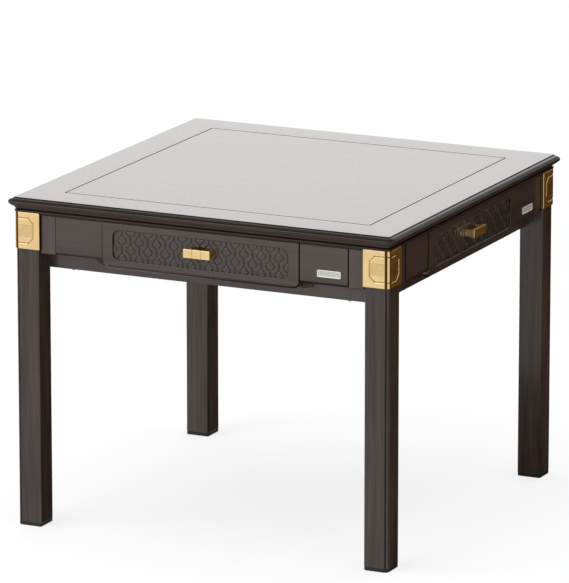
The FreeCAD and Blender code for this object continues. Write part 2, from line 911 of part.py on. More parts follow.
def drawer_tray(quarters):
    """A tray behind the front, open on top, grooved along both sides for its runners."""
    body = new_body("DrawerTray")
    w = d.tray_half
    top = d.bay_top - d.bay_top_gap
    draw_rectangle(sketch_on(body, "XY_Plane", d.tray_bottom), (-w, -d.front_back), (w, -d.tray_back))
    pad(body, body.Group[-1], top - d.tray_bottom)
    sketch = sketch_on(body, "XY_Plane", top)
    low = (d.tray_wall - w, d.tray_wall - d.front_back)
    high = (w - d.tray_wall, -d.tray_back - d.tray_wall)
    draw_rectangle(sketch, low, high)
    pocket(body, sketch, top - d.tray_bottom - d.tray_floor)
    groove_top = d.runner_bottom + d.runner_height
    sketch = sketch_on(body, "XZ_Plane", d.front_back)
    draw_rectangle(sketch, (-w, d.runner_bottom), (d.runner_depth - w, groove_top))
    draw_rectangle(sketch, (w - d.runner_depth, d.runner_bottom), (w, groove_top))
    pocket(body, sketch, d.tray_depth)
    node(turned(body, quarters), "drawer_tray_" + SIDES[quarters])


def drawer_runners(quarters):
    """A post on each side of a drawer bay, with a runner strip that reaches forward through the bay."""
    y0 = -d.board_back
    y1 = -d.tray_back
    post_top = d.runner_bottom + d.runner_height + d.runner_post_head
    strip_front = d.runner_front_gap - d.board_face
    strip_low = d.runner_bottom + d.runner_gap
    strip_high = d.runner_bottom + d.runner_height - d.runner_gap
    tip = d.tray_half - d.runner_depth + d.runner_gap
    outer = d.bay_half + d.runner_post
    right = fused(
        "RunnerRight",
        block("RunnerPost", (d.bay_half, y0, d.notch_bottom), (outer, y1, post_top)),
        block("RunnerStrip", (tip, strip_front, strip_low), (d.bay_half, y1, strip_high)),
    )
    left = fused(
        "RunnerLeft",
        block("RunnerPost", (-outer, y0, d.notch_bottom), (-d.bay_half, y1, post_top)),
        block("RunnerStrip", (-d.bay_half, strip_front, strip_low), (-tip, y1, strip_high)),
    )
    return turned(group("RunnerPair", right, left), quarters)


def drawer_pull(quarters):
    """A brass block pull: a bar on two feet that stand on the sunk field."""
    body = new_body("DrawerPull")
    half = d.pull_length / 2
    floor = d.carve_floor
    reach = floor + d.pull_stand
    inside = reach - d.pull_wall
    field_bottom = d.front_bottom + d.carve_bottom_margin
    field_top = d.rim_bottom - d.front_top_gap - d.carve_top_margin
    sketch = sketch_on(body, "XY_Plane", (field_bottom + field_top) / 2 + d.pull_rise)
    draw(
        sketch, (-half, -floor), (-half, -reach), (half, -reach), (half, -floor),
        (half - d.pull_foot, -floor), (half - d.pull_foot, -inside), (d.pull_foot - half, -inside),
        (d.pull_foot - half, -floor),
    )
    pad(body, sketch, d.pull_height, middle=True)
    soften(body, "Chamfer", d.pull_edge, lambda middle, edge: near(middle.y, -reach))
    node(turned(body, quarters), "drawer_pull_" + SIDES[quarters])


# ---- playing deck ----

def turned_corners(low, high, quarters):
    """The low and high corners of a rectangle that has been turned by quarter turns."""
    corners = [low, high]
    for _ in range(quarters):
        corners = [(-y, x) for x, y in corners]
    pairs = list(zip(*corners))
    return tuple(min(p, key=size_value) for p in pairs), tuple(max(p, key=size_value) for p in pairs)


def slot_corners(quarters, gap=0):
    """Two opposite corners of a slot on one side, made smaller all round by a gap."""
    half = d.slot_width / 2 - gap
    low = (d.slot_start + gap, -d.slot_place - half)
    high = (d.slot_end - gap, half - d.slot_place)
    return turned_corners(low, high, quarters)


def deck_layer(name, label, bottom, wall):
    """One layer of the deck, with the console's well and the four tile slots."""
    body = new_body(name)
    sketch = sketch_on(body, "XY_Plane", bottom)
    draw_notched(sketch, d.board_back - d.deck_side_gap, d.leg_inner - d.deck_leg_gap)
    draw_circle(sketch, (0, 0), d.well_radius)
    for quarters in range(4):
        draw_rectangle(sketch, *slot_corners(quarters))
    pad(body, sketch, wall)
    node(body, label)


def deck_cleat(quarters):
    """A strip on the apron board that the deck lies on."""
    half = d.leg_inner - d.deck_cleat_gap
    low = (-half, -d.board_back, d.deck_bottom - d.deck_cleat_height)
    high = (half, d.deck_cleat_width - d.board_back, d.deck_bottom)
    return turned(group("DeckCleatSide", block("DeckCleat", low, high)), quarters)


# ---- tile lifts ----

def lift_post_places():
    return [d.slot_start + d.lift_post_inset, d.slot_end - d.lift_post_inset]


def square_bar(name, x, y, side, bottom, top):
    """An upright square bar about a point."""
    half = as_size(side) / 2
    return block(name, (x - half, y - half, bottom), (x + half, y + half, top))


def tile_lift(quarters):
    """A bar that fills a slot, on two square guide posts."""
    low, high = slot_corners(0, d.lift_gap)
    bottom = d.cloth_top - d.lift_wall
    pieces = [block("LiftBar", (*low, bottom), (*high, d.cloth_top))]
    for x in lift_post_places():
        foot_level = bottom - d.lift_post_length
        top = bottom + d.lift_wall / 2
        pieces.append(square_bar("LiftPost", x, -d.slot_place, d.lift_post_side, foot_level, top))
    node(turned(fused("TileLift", *pieces), quarters), "tile_lift_" + SIDES[quarters])


def lift_guides(quarters):
    """Two hollow blocks on the pan that the lift's posts run in."""
    blocks = []
    bottom, top = d.box_bottom, d.box_bottom + d.guide_height
    for x in lift_post_places():
        outside = square_bar("GuideBlock", x, -d.slot_place, d.guide_side, bottom, top)
        bore = square_bar("GuideBore", x, -d.slot_place, d.lift_post_side + 2 * d.guide_gap, bottom, top)
        blocks.append(cut("Guide", outside, bore))
    return turned(group("GuidePair", *blocks), quarters)


def lift_motor(quarters):
    """The gear motor that works a lift, between its two guides."""
    middle = d.slot_middle
    low = (middle - d.lift_motor_length / 2, -d.slot_place - d.lift_motor_width / 2, d.box_bottom)
    high = (
        middle + d.lift_motor_length / 2, -d.slot_place + d.lift_motor_width / 2,
        d.box_bottom + d.lift_motor_height,
    )
    return turned(group("LiftMotorSide", block("LiftMotor", low, high)), quarters)


# ---- centre console ----

def console():
    """A round console on a tube that slides on the mast, with a dice well and four key pockets."""
    body = new_body("Console")
    top = d.console_top
    well = top - d.dice_well_depth
    column_bottom = d.console_bottom - d.column_length
    sketch = sketch_on(body, "XZ_Plane")
    draw(
        sketch, (0, d.boss_bottom), (d.bore_radius, d.boss_bottom), (d.bore_radius, column_bottom),
        (d.column_radius, column_bottom), (d.column_radius, d.console_bottom),
        (d.console_radius, d.console_bottom), (d.console_radius, top), (d.dice_well_radius, top),
        (d.dice_well_radius, well), (0, well),
    )
    revolve(body, sketch)
    sketch = sketch_on(body, "XY_Plane", top)
    for quarters in range(4):
        draw_rectangle(sketch, *key_corners(quarters))
    pocket(body, sketch, d.key_depth)
    node(body, "console")


def key_corners(quarters, gap=0):
    """Two opposite corners of a key pocket, made smaller all round by a gap."""
    x = d.key_length / 2 + d.key_gap - gap
    y = d.key_width / 2 + d.key_gap - gap
    return turned_corners((-x, -d.key_place - y), (x, y - d.key_place), quarters)


def console_key(quarters):
    """A key in its pocket, standing a little proud of the console."""
    low, high = key_corners(0, d.key_gap)
    bottom = d.console_top - d.key_depth + d.key_travel
    key = block("KeyBlock", (*low, bottom), (*high, d.console_top + d.key_rise))
    node(turned(group("ConsoleKey", key), quarters), "console_key_" + SIDES[quarters])


def dice_dome():
    """A clear round cap over the dice well."""
    body = new_body("DiceDome")
    base = d.console_top
    top = base + d.dome_height
    outside = d.dice_well_radius + d.dome_seat
    inside = outside - d.dome_wall
    draw(
        sketch_on(body, "XZ_Plane"), (0, top - d.dome_wall), (inside, top - d.dome_wall), (inside, base),
        (outside, base), (outside, top), (0, top),
    )
    revolve(body, body.Group[-1])
    node(body, "dice_dome")


def dice():
    """Two dice on the floor of the well."""
    floor = d.console_top - d.dice_well_depth
    half = d.dice_side / 2
    pair = []
    for sign in (-1, 1):
        x = sign * d.dice_place
        pair.append(block("Die", (x - half, -half, floor), (x + half, half, floor + d.dice_side)))
    node(group("Dice", *pair), "dice")


def mast():
    """The fixed post under the console, on a square foot whose ledge carries the drum."""
    ledge = d.drum_bottom - d.bearing_gap
    side = 2 * (d.drum_hole + d.bearing_ledge)
    top = d.boss_bottom - d.mast_top_gap
    foot_block = square_bar("MastFoot", as_size(0), as_size(0), side, d.box_bottom, ledge)
    post = rod("MastPost", d.mast_radius, (0, 0, d.box_bottom), top - d.box_bottom)
    node(fused("Mast", foot_block, post), "console_mast")


# ---- shuffling drum ----

def drum():
    """An open bowl that turns round the mast, with a raised hub."""
    body = new_body("Drum")
    bottom, hole = d.drum_bottom, d.drum_hole
    floor = bottom + d.drum_floor
    top = bottom + d.drum_height
    hub_top = bottom + d.drum_hub_height
    hub = hole + d.drum_wall
    rim = d.drum_radius - d.drum_wall
    draw(
        sketch_on(body, "XZ_Plane"), (hole, bottom), (d.drum_radius, bottom), (d.drum_radius, top), (rim, top),
        (rim, floor), (hub, floor), (hub, hub_top), (hole, hub_top),
    )
    revolve(body, body.Group[-1])
    node(body, "shuffling_drum")


def drive_place():
    """The drive wheel stands off the drum's rim, towards the front right corner."""
    away = (d.drum_radius + d.wheel_radius + d.wheel_gap) * HALF
    return away, -away


def drum_drive():
    """The motor on the pan and the friction wheel that turns the drum."""
    x, y = drive_place()
    motor_top = d.box_bottom + d.drive_motor_height
    motor = square_bar("DriveMotorCase", x, y, d.drive_motor_side, d.box_bottom, motor_top)
    node(group("DriveMotor", motor), "drive_motor")
    wheel_bottom = motor_top + d.wheel_lift
    wheel = rod("Wheel", d.wheel_radius, (x, y, wheel_bottom), d.wheel_height)
    shaft_top = wheel_bottom + d.wheel_height / 2
    shaft = square_bar("WheelShaft", x, y, d.wheel_shaft_side, motor_top + d.bearing_gap, shaft_top)
    node(fused("DriveWheel", wheel, shaft), "drive_wheel")


# ---- electrics ----

def control_board():
    """The circuit board on four standoffs, in the back right corner of the pan."""
    x = y = d.corner_place
    half = d.circuit_side / 2
    low = d.box_bottom + d.circuit_lift
    top = low + d.circuit_wall
    pieces = [block("Circuit", (x - half, y - half, low), (x + half, y + half, top))]
    reach = half - d.standoff_inset
    for i in (-1, 1):
        for j in (-1, 1):
            place_x, place_y = x + i * reach, y + j * reach
            pieces.append(square_bar("Standoff", place_x, place_y, d.standoff_side, d.box_bottom, low))
    pieces.append(square_bar("Chip", x, y, d.chip_side, top, top + d.chip_height))
    node(fused("ControlBoard", *pieces), "control_board")


def power_supply():
    """The supply's case, in the front left corner of the pan."""
    x = y = -d.corner_place
    case = square_bar("SupplyCase", x, y, d.supply_side, d.box_bottom, d.box_bottom + d.supply_height)
    node(group("PowerSupply", case), "power_supply")


def inlet_corners(gap=0):
    """Two opposite corners of the mains inlet in plan, in the back left corner, let out by a gap."""
    bay = d.rocker_length + 2 * d.rocker_gap
    half_x = (2 * d.inlet_wall + d.socket_length + d.inlet_rib + bay) / 2 + gap
    half_y = d.socket_width / 2 + d.inlet_side_wall + gap
    x, y = -d.corner_place, d.corner_place
    return (x - half_x, y - half_y), (x + half_x, y + half_y)


def rocker_place():
    """The middle of the rocker on the inlet's mouth, and the height of its pin."""
    low, high = inlet_corners()
    x = high[0] - d.inlet_wall - d.rocker_gap - d.rocker_length / 2
    mouth = d.box_bottom - d.pan_wall - d.inlet_flange
    return x, d.corner_place, mouth + d.rocker_height / 2


def rocker_pin(name, radius):
    """A rod across the rocker's bay, on the axis that the rocker tilts about."""
    x, y, z = rocker_place()
    half = d.rocker_width / 2 + 2 * d.rocker_gap
    pin = rod(name, radius, (x, y - half, z), 2 * half)
    pin.Placement.Rotation = FreeCAD.Rotation(FreeCAD.Vector(1, 0, 0), -90)
    return pin


def mains_inlet():
    """A three-blade inlet with a rocker bay beside it, set in the pan and facing down."""
    body = new_body("InletBody")
    pan_bottom = d.box_bottom - d.pan_wall
    mouth = pan_bottom - d.inlet_flange
    low, high = inlet_corners()
    sketch = sketch_on(body, "XY_Plane", mouth)
    draw_rectangle(sketch, *inlet_corners(2 * d.inlet_flange))
    pad(body, sketch, d.inlet_flange)
    sketch = sketch_on(body, "XY_Plane", pan_bottom)
    draw_rectangle(sketch, low, high)
    pad(body, sketch, d.inlet_height)

    y = d.corner_place
    socket_x = low[0] + d.inlet_wall + d.socket_length / 2
    socket_low = (socket_x - d.socket_length / 2, y - d.socket_width / 2)
    socket_high = (socket_x + d.socket_length / 2, y + d.socket_width / 2)
    blade_tip = mouth + d.socket_depth - d.blade_length
    sketch = sketch_on(body, "XY_Plane", blade_tip)
    draw_rectangle(sketch, socket_low, socket_high)
    pocket(body, sketch, blade_tip - mouth)
    sketch = sketch_on(body, "XY_Plane", mouth + d.socket_depth)
    draw_rectangle(sketch, socket_low, socket_high)
    for step in (-1, 0, 1):
        x = socket_x + step * d.blade_spread
        half_x, half_y = d.blade_wall / 2, d.blade_width / 2
        draw_rectangle(sketch, (x - half_x, y - half_y), (x + half_x, y + half_y))
    pocket(body, sketch, d.blade_length)

    rocker_x = rocker_place()[0]
    bay_x = d.rocker_length / 2 + d.rocker_gap
    bay_y = d.rocker_width / 2 + d.rocker_gap
    sketch = sketch_on(body, "XY_Plane", mouth + d.rocker_height + 2 * d.rocker_gap)
    draw_rectangle(sketch, (rocker_x - bay_x, y - bay_y), (rocker_x + bay_x, y + bay_y))
    pocket(body, sketch, d.rocker_height + 2 * d.rocker_gap)
    node(fused("MainsInlet", body, rocker_pin("InletPin", d.rocker_pin_radius)), "mains_inlet")


def rocker():
    """The power rocker: a block with a shallow dip across its face, bored for the pin that it tilts on."""
    body = new_body("RockerBody")
    x, y, pin_z = rocker_place()
    half = d.rocker_length / 2
    mouth = pin_z - d.rocker_height / 2
    sketch = sketch_on(body, "XZ_Plane", -y - d.rocker_width / 2)
    draw(
        sketch, (x - half, mouth), (x, mouth + d.rocker_dip), (x + half, mouth),
        (x + half, mouth + d.rocker_height), (x - half, mouth + d.rocker_height),
    )
    pad(body, sketch, d.rocker_width)
    bore = rocker_pin("RockerBore", d.rocker_pin_radius + d.rocker_pin_gap)
    node(cut("Rocker", body, bore), "power_rocker")


# ---- the whole table ----

def four(maker):
    """One of a piece on each side or at each corner."""
    return [maker(quarters) for quarters in range(4)]


four(leg)
node(group("Feet", *four(foot)), "foot_pads")
four(corner_cap)
node(group("TopRim", *four(rim_rail)), "top_rim")
dining_cover()
node(group("CoverCleats", *four(cover_cleat)), "cover_cleats")
node(group("ApronBoards", *four(apron_board)), "apron_boards")
for quarters, side in enumerate(SIDES):
    panels = facing_pair("Panel", d.panel_wall, d.panel_start, d.panel_end, quarters)
    node(panels, "apron_panels_" + side)
posts = four(lambda quarters: facing_pair("Post", d.post_wall, d.post_start, d.post_end, quarters))
node(group("Posts", *posts), "apron_posts")
node(group("Plates", *four(plate)), "side_plates")
node(group("LowerRails", *four(lower_rail)), "lower_rails")
node(group("CornerBlocks", *four(corner_block)), "corner_blocks")
base_pan()
pan_screws()
four(drawer_front)
four(drawer_tray)
four(drawer_pull)
node(group("Runners", *four(drawer_runners)), "drawer_runners")
deck_layer("DeckBoard", "deck_board", d.deck_bottom, d.deck_wall)
deck_layer("DeckCloth", "deck_cloth", d.deck_top, d.cloth_wall)
node(group("DeckCleats", *four(deck_cleat)), "deck_cleats")
four(tile_lift)
node(group("LiftGuides", *four(lift_guides)), "lift_guides")
node(group("LiftMotors", *four(lift_motor)), "lift_motors")
console()
four(console_key)
dice_dome()
dice()
mast()
drum()
drum_drive()
control_board()
power_supply()
mains_inlet()
rocker()

doc.recompute()
for thing in doc.Objects:
    if "Invalid" in thing.State or "Error" in thing.State:
        raise ValueError(f"{thing.Name} failed: {thing.State}")
for thing in nodes:
    if thing.Shape.isNull() or not thing.Shape.isValid() or not thing.Shape.Solids:
        raise ValueError(f"{thing.Label} has no valid solid")

os.makedirs("parts", exist_ok=True)
for thing in nodes:
    thing.Shape.exportStep(os.path.join("parts", thing.Label + ".step"))
print(len(nodes), "sub-parts written")
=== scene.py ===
"""Looks of an automatic mahjong table: lacquered dark wood, carved lattice drawers and brass fittings."""

import math

import bmesh
import bpy
from mathutils import Matrix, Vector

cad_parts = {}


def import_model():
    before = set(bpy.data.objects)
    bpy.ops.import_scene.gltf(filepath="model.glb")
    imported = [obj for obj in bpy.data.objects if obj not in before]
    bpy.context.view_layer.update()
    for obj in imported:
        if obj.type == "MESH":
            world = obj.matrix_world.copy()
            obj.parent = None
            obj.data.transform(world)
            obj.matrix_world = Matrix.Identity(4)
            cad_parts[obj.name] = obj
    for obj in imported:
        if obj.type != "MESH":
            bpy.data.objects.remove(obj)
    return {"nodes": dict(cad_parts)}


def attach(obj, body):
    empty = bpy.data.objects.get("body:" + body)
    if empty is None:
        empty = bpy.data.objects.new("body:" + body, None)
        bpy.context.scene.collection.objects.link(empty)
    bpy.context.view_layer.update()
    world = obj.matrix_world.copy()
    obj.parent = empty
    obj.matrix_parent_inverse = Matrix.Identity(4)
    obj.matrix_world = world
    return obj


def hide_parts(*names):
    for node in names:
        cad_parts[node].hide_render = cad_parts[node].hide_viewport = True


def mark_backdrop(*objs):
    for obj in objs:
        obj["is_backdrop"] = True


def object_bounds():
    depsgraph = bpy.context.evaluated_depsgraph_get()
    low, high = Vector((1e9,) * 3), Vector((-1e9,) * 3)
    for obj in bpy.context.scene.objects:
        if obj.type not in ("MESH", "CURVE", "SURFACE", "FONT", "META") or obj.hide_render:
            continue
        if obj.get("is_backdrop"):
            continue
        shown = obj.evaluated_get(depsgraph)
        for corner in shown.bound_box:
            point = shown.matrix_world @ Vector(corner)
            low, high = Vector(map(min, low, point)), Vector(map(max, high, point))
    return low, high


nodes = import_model()["nodes"]
cad_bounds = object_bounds()

# ---- floor, surround, lamps and camera ----
# A pale floor under a white surround, lit by large soft panels. A dark card, which only reflections
# show, lies on the floor behind and to the right and is folded up at its far edges, so the faces on
# that side read darker.


def fill(tree, item, inputs):
    """A node's inputs linked to sockets or set to values."""
    for key, value in inputs.items():
        if isinstance(value, bpy.types.NodeSocket):
            tree.links.new(value, item.inputs[key])
        else:
            item.inputs[key].default_value = value


def wire(tree, kind, inputs=(), **settings):
    """The outputs of a new node with its settings and inputs given."""
    item = tree.nodes.new(kind if kind.startswith("Geometry") else "ShaderNode" + kind)
    for key, value in settings.items():
        setattr(item, key, value)
    fill(tree, item, dict(inputs))
    return item.outputs


def sums(tree, operation, *values):
    """A math node's result."""
    return wire(tree, "Math", dict(enumerate(values)), operation=operation)[0]


def spread(tree, source, low, high, start=0.0, end=1.0, **settings):
    """A value in start..end spread over low..high."""
    span = {"Value": source, "From Min": start, "From Max": end, "To Min": low, "To Max": high}
    return wire(tree, "MapRange", span, **settings)["Result"]


def shader(name):
    """A new material with its node tree and its Principled shader."""
    material = bpy.data.materials.new(name)
    material.use_nodes = True
    return material, material.node_tree, material.node_tree.nodes["Principled BSDF"]


def stood(name, data):
    """An object that holds the data, linked to the scene."""
    thing = bpy.data.objects.new(name, data)
    bpy.context.scene.collection.objects.link(thing)
    return thing


SMOOTH_BELOW = math.radians(50)


def shade_by_area(mesh):
    """Normals that keep large flat faces flat and turn over the narrow ones between them."""
    work = bmesh.new()
    work.from_mesh(mesh)
    limit = math.cos(SMOOTH_BELOW)
    areas = {face: face.calc_area() for face in work.faces}
    normals = []
    for face in work.faces:
        for corner in face.loops:
            near = [other for other in corner.vert.link_faces if other.normal.dot(face.normal) > limit]
            total = sum((other.normal * areas[other] for other in near), face.normal * 1e-9)
            normals.append(total.normalized())
    work.free()
    mesh.normals_split_custom_set(normals)


def new_mesh(name, points, faces, material, dense=False):
    """A mesh object from points in millimetres and faces, shaded smooth where its faces turn little."""
    mesh = bpy.data.meshes.new(name)
    mesh.from_pydata([(x / 1000, y / 1000, z / 1000) for x, y, z in points], [], faces)
    mesh.validate()
    work = bmesh.new()
    work.from_mesh(mesh)
    bmesh.ops.recalc_face_normals(work, faces=work.faces)
    work.to_mesh(mesh)
    work.free()
    mesh.polygons.foreach_set("use_smooth", [True] * len(mesh.polygons))
    if dense:
        mesh.set_sharp_from_angle(angle=SMOOTH_BELOW)
    else:
        shade_by_area(mesh)
    mesh.materials.append(material)
    return stood(name, mesh)


FLOOR_HALF = 9000
FLOOR_NEAR, FLOOR_FAR, FLOOR_HAZE = 0.9, 2.2, 0.75
floor_paint, tree, paint = shader("floor_paint")
fill(tree, paint, {"Base Color": (0.9, 0.9, 0.9, 1), "Roughness": 0.9, "Specular IOR Level": 0.1})
reach = wire(tree, "VectorMath", {0: wire(tree, "TexCoord")["Object"]}, operation="LENGTH")["Value"]
fade = spread(tree, reach, FLOOR_HAZE, 1.0, FLOOR_NEAR, FLOOR_FAR, interpolation_type="SMOOTHSTEP")
rays = wire(tree, "LightPath")
seen = sums(tree, "MAXIMUM", rays["Is Camera Ray"], rays["Is Glossy Ray"])
white = wire(tree, "Emission", {"Strength": 1.0})[0]
layers = {0: sums(tree, "MULTIPLY", fade, seen), 1: paint.outputs[0], 2: white}
fill(tree, tree.nodes["Material Output"], {"Surface": wire(tree, "MixShader", layers)[0]})
square = [(x * FLOOR_HALF, y * FLOOR_HALF, 0) for x, y in ((-1, -1), (1, -1), (1, 1), (-1, 1))]
floor = new_mesh("floor", square, [(0, 1, 2, 3)], floor_paint)

CARD_LEFT, CARD_FRONT, CARD_RIGHT, CARD_BACK, CARD_LIFT, CARD_UP = -395, -440, 4600, 5600, 1, 1500
FOLD_LEFT, FOLD_FRONT = 700, 1200
card_paint, tree, paint = shader("card_paint")
fill(tree, paint, {"Base Color": (0.045, 0.021, 0.006, 1), "Roughness": 1.0})
fold_ends = ((CARD_RIGHT, FOLD_FRONT), (CARD_RIGHT, CARD_BACK), (FOLD_LEFT, CARD_BACK))
card_start = ((CARD_LEFT, CARD_BACK), (CARD_LEFT, CARD_FRONT), (CARD_RIGHT, CARD_FRONT))
card = [(x, y, CARD_LIFT) for x, y in card_start + fold_ends] + [(x, y, CARD_UP) for x, y in fold_ends]
dark_card = new_mesh("dark_card", card, [(0, 1, 2, 3, 4, 5), (3, 6, 7, 4), (4, 7, 8, 5)], card_paint)
for way in ("camera", "diffuse", "shadow", "transmission", "volume_scatter"):
    setattr(dark_card, "visible_" + way, False)
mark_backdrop(floor, dark_card)

world = bpy.data.worlds.new("surround")
bpy.context.scene.world = world
world.use_nodes = True
tree = world.node_tree
tree.nodes.clear()
rays = wire(tree, "LightPath")
direct = sums(tree, "MAXIMUM", rays["Is Camera Ray"], rays["Is Glossy Ray"])
direct = sums(tree, "MAXIMUM", direct, rays["Is Transmission Ray"])
lit = wire(tree, "Background", {"Strength": 0.8})[0]
seen = wire(tree, "Background", {"Strength": 1.0})[0]
wire(tree, "OutputWorld", {0: wire(tree, "MixShader", {0: direct, 1: lit, 2: seen})[0]})


def soft_panel(name, at, aim, size, watts, tint=(1, 1, 1), reflected=True):
    """A large rectangular lamp that is felt but not seen, and may be reflected."""
    lamp = bpy.data.lights.new(name, "AREA")
    lamp.shape = "RECTANGLE"
    lamp.size, lamp.size_y = size
    lamp.energy = watts
    lamp.color = tint
    panel = stood(name, lamp)
    panel.location = at
    way = [aim[i] - at[i] for i in range(3)]
    level = math.hypot(way[0], way[1])
    panel.rotation_euler = (math.atan2(level, -way[2]), 0, math.atan2(-way[0], way[1]))
    panel.visible_camera = False
    panel.visible_glossy = reflected


soft_panel("key_panel", at=(-2.4, -3.6, 3.4), aim=(0, 0, 0.5), size=(4.6, 4.6), watts=150)
soft_panel("top_panel", at=(0, 0.4, 4.2), aim=(0, 0, 0), size=(4.6, 4.6), watts=110, reflected=False)
BACK_AT, BACK_TINT = (-1.33, 2.81, 1.52), (1.0, 0.965, 0.945)
soft_panel("back_panel", at=BACK_AT, aim=(0, 0, 0.76), size=(3.4, 1.9), watts=10, tint=BACK_TINT)

CAMERA_UP, CAMERA_ROUND = 13.84, 25.35
camera_data = bpy.data.cameras.new("camera")
camera_data.sensor_width = 36
camera_data.lens = 370.2
camera_data.clip_start = 0.5
camera_data.clip_end = 60
camera = stood("camera", camera_data)
camera.location = (5.668, -11.984, 3.754)
camera.rotation_euler = (math.radians(90 - CAMERA_UP), 0, math.radians(CAMERA_ROUND))
bpy.context.scene.camera = camera
bpy.context.scene.view_settings.view_transform = "Standard"

# ---- legs ----
# Square posts of dark lacquered hardwood with a bead between two hollows on the outer corner.
# Each is run to length on a moulder, rounded on its other edges and glued to the corner blocks.


def two_tone(tree, source, dark, light, low, high):
    """A colour ramp between two colours."""
    ramp = tree.nodes.new("ShaderNodeValToRGB")
    for element, position, colour in zip(ramp.color_ramp.elements, (low, high), (dark, light)):
        element.position = position
        element.color = (*colour, 1)
    fill(tree, ramp, {"Fac": source})
    return ramp.outputs["Color"]


def laid_over(tree, share, under, over):
    """A plain colour laid over another by a share."""
    return wire(tree, "MixRGB", {"Fac": share, "Color1": under, "Color2": (*over, 1)})["Color"]


def place(tree, stretch=(1, 1, 1)):
    """The place on the piece, scaled along each axis."""
    spot = wire(tree, "TexCoord")["Object"]
    return wire(tree, "Mapping", {"Vector": spot, "Scale": stretch})["Vector"]


def along_grain(axis, share):
    """A stretch that draws a pattern out along one axis."""
    return [share if letter == axis else 1.0 for letter in "XYZ"]


def noise(tree, coords, scale, detail=4.0, rough=0.55):
    """Cloudy variation from 0 to 1."""
    inputs = {"Vector": coords, "Scale": scale, "Detail": detail, "Roughness": rough}
    return wire(tree, "TexNoise", inputs)["Fac"]


def bump(tree, height, strength, distance):
    """The surface's direction, turned by a relief."""
    return wire(tree, "Bump", {"Height": height, "Strength": strength, "Distance": distance})["Normal"]


def edge_wear(tree, radius):
    """0 on the flat, rising towards an edge that hands and cloths rub."""
    rounded = wire(tree, "Bevel", {"Radius": radius}, samples=4)[0]
    plain = wire(tree, "NewGeometry")["Normal"]
    turn = wire(tree, "VectorMath", {0: rounded, 1: plain}, operation="DOT_PRODUCT")["Value"]
    return spread(tree, turn, 0.0, 1.0, 0.995, 0.86)


WOOD_TONES = ((0.016, 0.0078, 0.0053), (0.043, 0.0237, 0.0165), (0.06, 0.04, 0.031))
PAINTED_SHADE_TONE, PAINTED_SHADE_GLINT, FIGURE_MIDDLE = (0.009, 0.005, 0.004), 0.06, 0.51


def dark_wood(
    name, along, coat=0.5, gloss=0.3, glint=0.5, streak=26.0, contrast=0.38, relief=0.1, depth=1.0
):
    """Espresso stain under satin lacquer, with its grain along one axis, and a painted shade that darkens
    it and takes its coat away where marked.
    """
    material, tree, shade = shader(name)
    coords = place(tree, along_grain(along, 0.05))
    figure = noise(tree, coords, streak, 6.0, 0.62)
    pores = noise(tree, coords, 520.0, 3.0, 0.6)
    # A depth below 1 darkens every tone, which makes a painted-shade copy of the wood.
    dark, light, rubbed = (tuple(part * depth for part in tone) for tone in WOOD_TONES)
    low, high = FIGURE_MIDDLE - contrast / 2, FIGURE_MIDDLE + contrast / 2
    tone = two_tone(tree, figure, dark, light, low, high)
    worn = laid_over(tree, edge_wear(tree, 0.0012), tone, rubbed)
    # The marked painted shade stands in for shadow: it darkens the colour and takes away the coat and most
    # of the glint.
    hollow = wire(tree, "Attribute", attribute_name="hollow")["Fac"]
    inputs = {
        "Base Color": laid_over(tree, hollow, worn, PAINTED_SHADE_TONE),
        "Roughness": spread(tree, pores, gloss - 0.06, gloss + 0.1),
        "Coat Weight": spread(tree, hollow, coat, 0.0),
        "Specular IOR Level": spread(tree, hollow, glint, PAINTED_SHADE_GLINT),
        "Coat Roughness": 0.12,
        "Normal": bump(tree, pores, relief, 0.0003),
    }
    fill(tree, shade, inputs)
    return material


def loft(rings):
    """Points and faces of a closed skin over rings of the same number of points."""
    count = len(rings[0])
    points = [point for ring in rings for point in ring]
    faces = []
    for i in range(len(rings) - 1):
        a, b = i * count, (i + 1) * count
        faces += [(a + j, a + (j + 1) % count, b + (j + 1) % count, b + j) for j in range(count)]
    faces.append(tuple(range(count))[::-1])
    faces.append(tuple(range(len(points) - count, len(points))))
    return points, faces


def mark(piece, values):
    """The painted shade of each point of a piece, kept on it for its material to read."""
    piece.data.attributes.new("hollow", "FLOAT", "POINT").data.foreach_set("value", values)


def turned(points, quarters):
    """Points turned about the table's middle by quarter turns."""
    for _ in range(quarters):
        points = [(-y, x, z) for x, y, z in points]
    return points


def arc(x, y, radius, start, end, steps):
    """Points of an arc from one angle to another, in degrees."""
    angles = [math.radians(start + (end - start) * i / steps) for i in range(steps + 1)]
    return [(x + radius * math.cos(a), y + radius * math.sin(a)) for a in angles]


CORNERS = ("front_right", "back_right", "back_left", "front_left")
LEG_OUT, LEG_IN, LEG_BEAD, LEG_EASE, LEG_FOOT, LEG_TOP = 458, 400, 9, 3.5, 8, 728
LEG_LEVELS = ((1.0, LEG_FOOT), (0.3, LEG_FOOT + 0.4), (0, LEG_FOOT + 1.2), (0, 640), (0, LEG_TOP))
HOLLOW_AT, HOLLOW_HALF, HOLLOW_DEEP, HOLLOW_PAINTED_SHADE, TURN_STEP = 15, 15, 2.0, 0.85, 3


def leg_section(inset):
    """The leg's outline at the front right corner, drawn in by an inset, and the painted shade of each
    point.
    """
    out, back, bead, ease = LEG_OUT - inset, LEG_IN + inset, LEG_OUT - LEG_BEAD, LEG_EASE
    corner, dark = [], []
    for turned_by in range(0, 91, TURN_STEP):
        hollow = max(0.0, 1 - ((min(turned_by, 90 - turned_by) - HOLLOW_AT) / HOLLOW_HALF) ** 2)
        reach = LEG_BEAD - inset - HOLLOW_DEEP * hollow
        angle = math.radians(turned_by - 90)
        corner.append((bead + reach * math.cos(angle), -bead + reach * math.sin(angle)))
        dark.append(HOLLOW_PAINTED_SHADE * hollow)
    first = arc(back + ease, -out + ease, ease, 180, 270, 4)
    others = arc(out - ease, -back - ease, ease, 0, 90, 4)
    others += arc(back + ease, -back - ease, ease, 90, 180, 4)
    return first + corner + others, [0.0] * len(first) + dark + [0.0] * len(others)


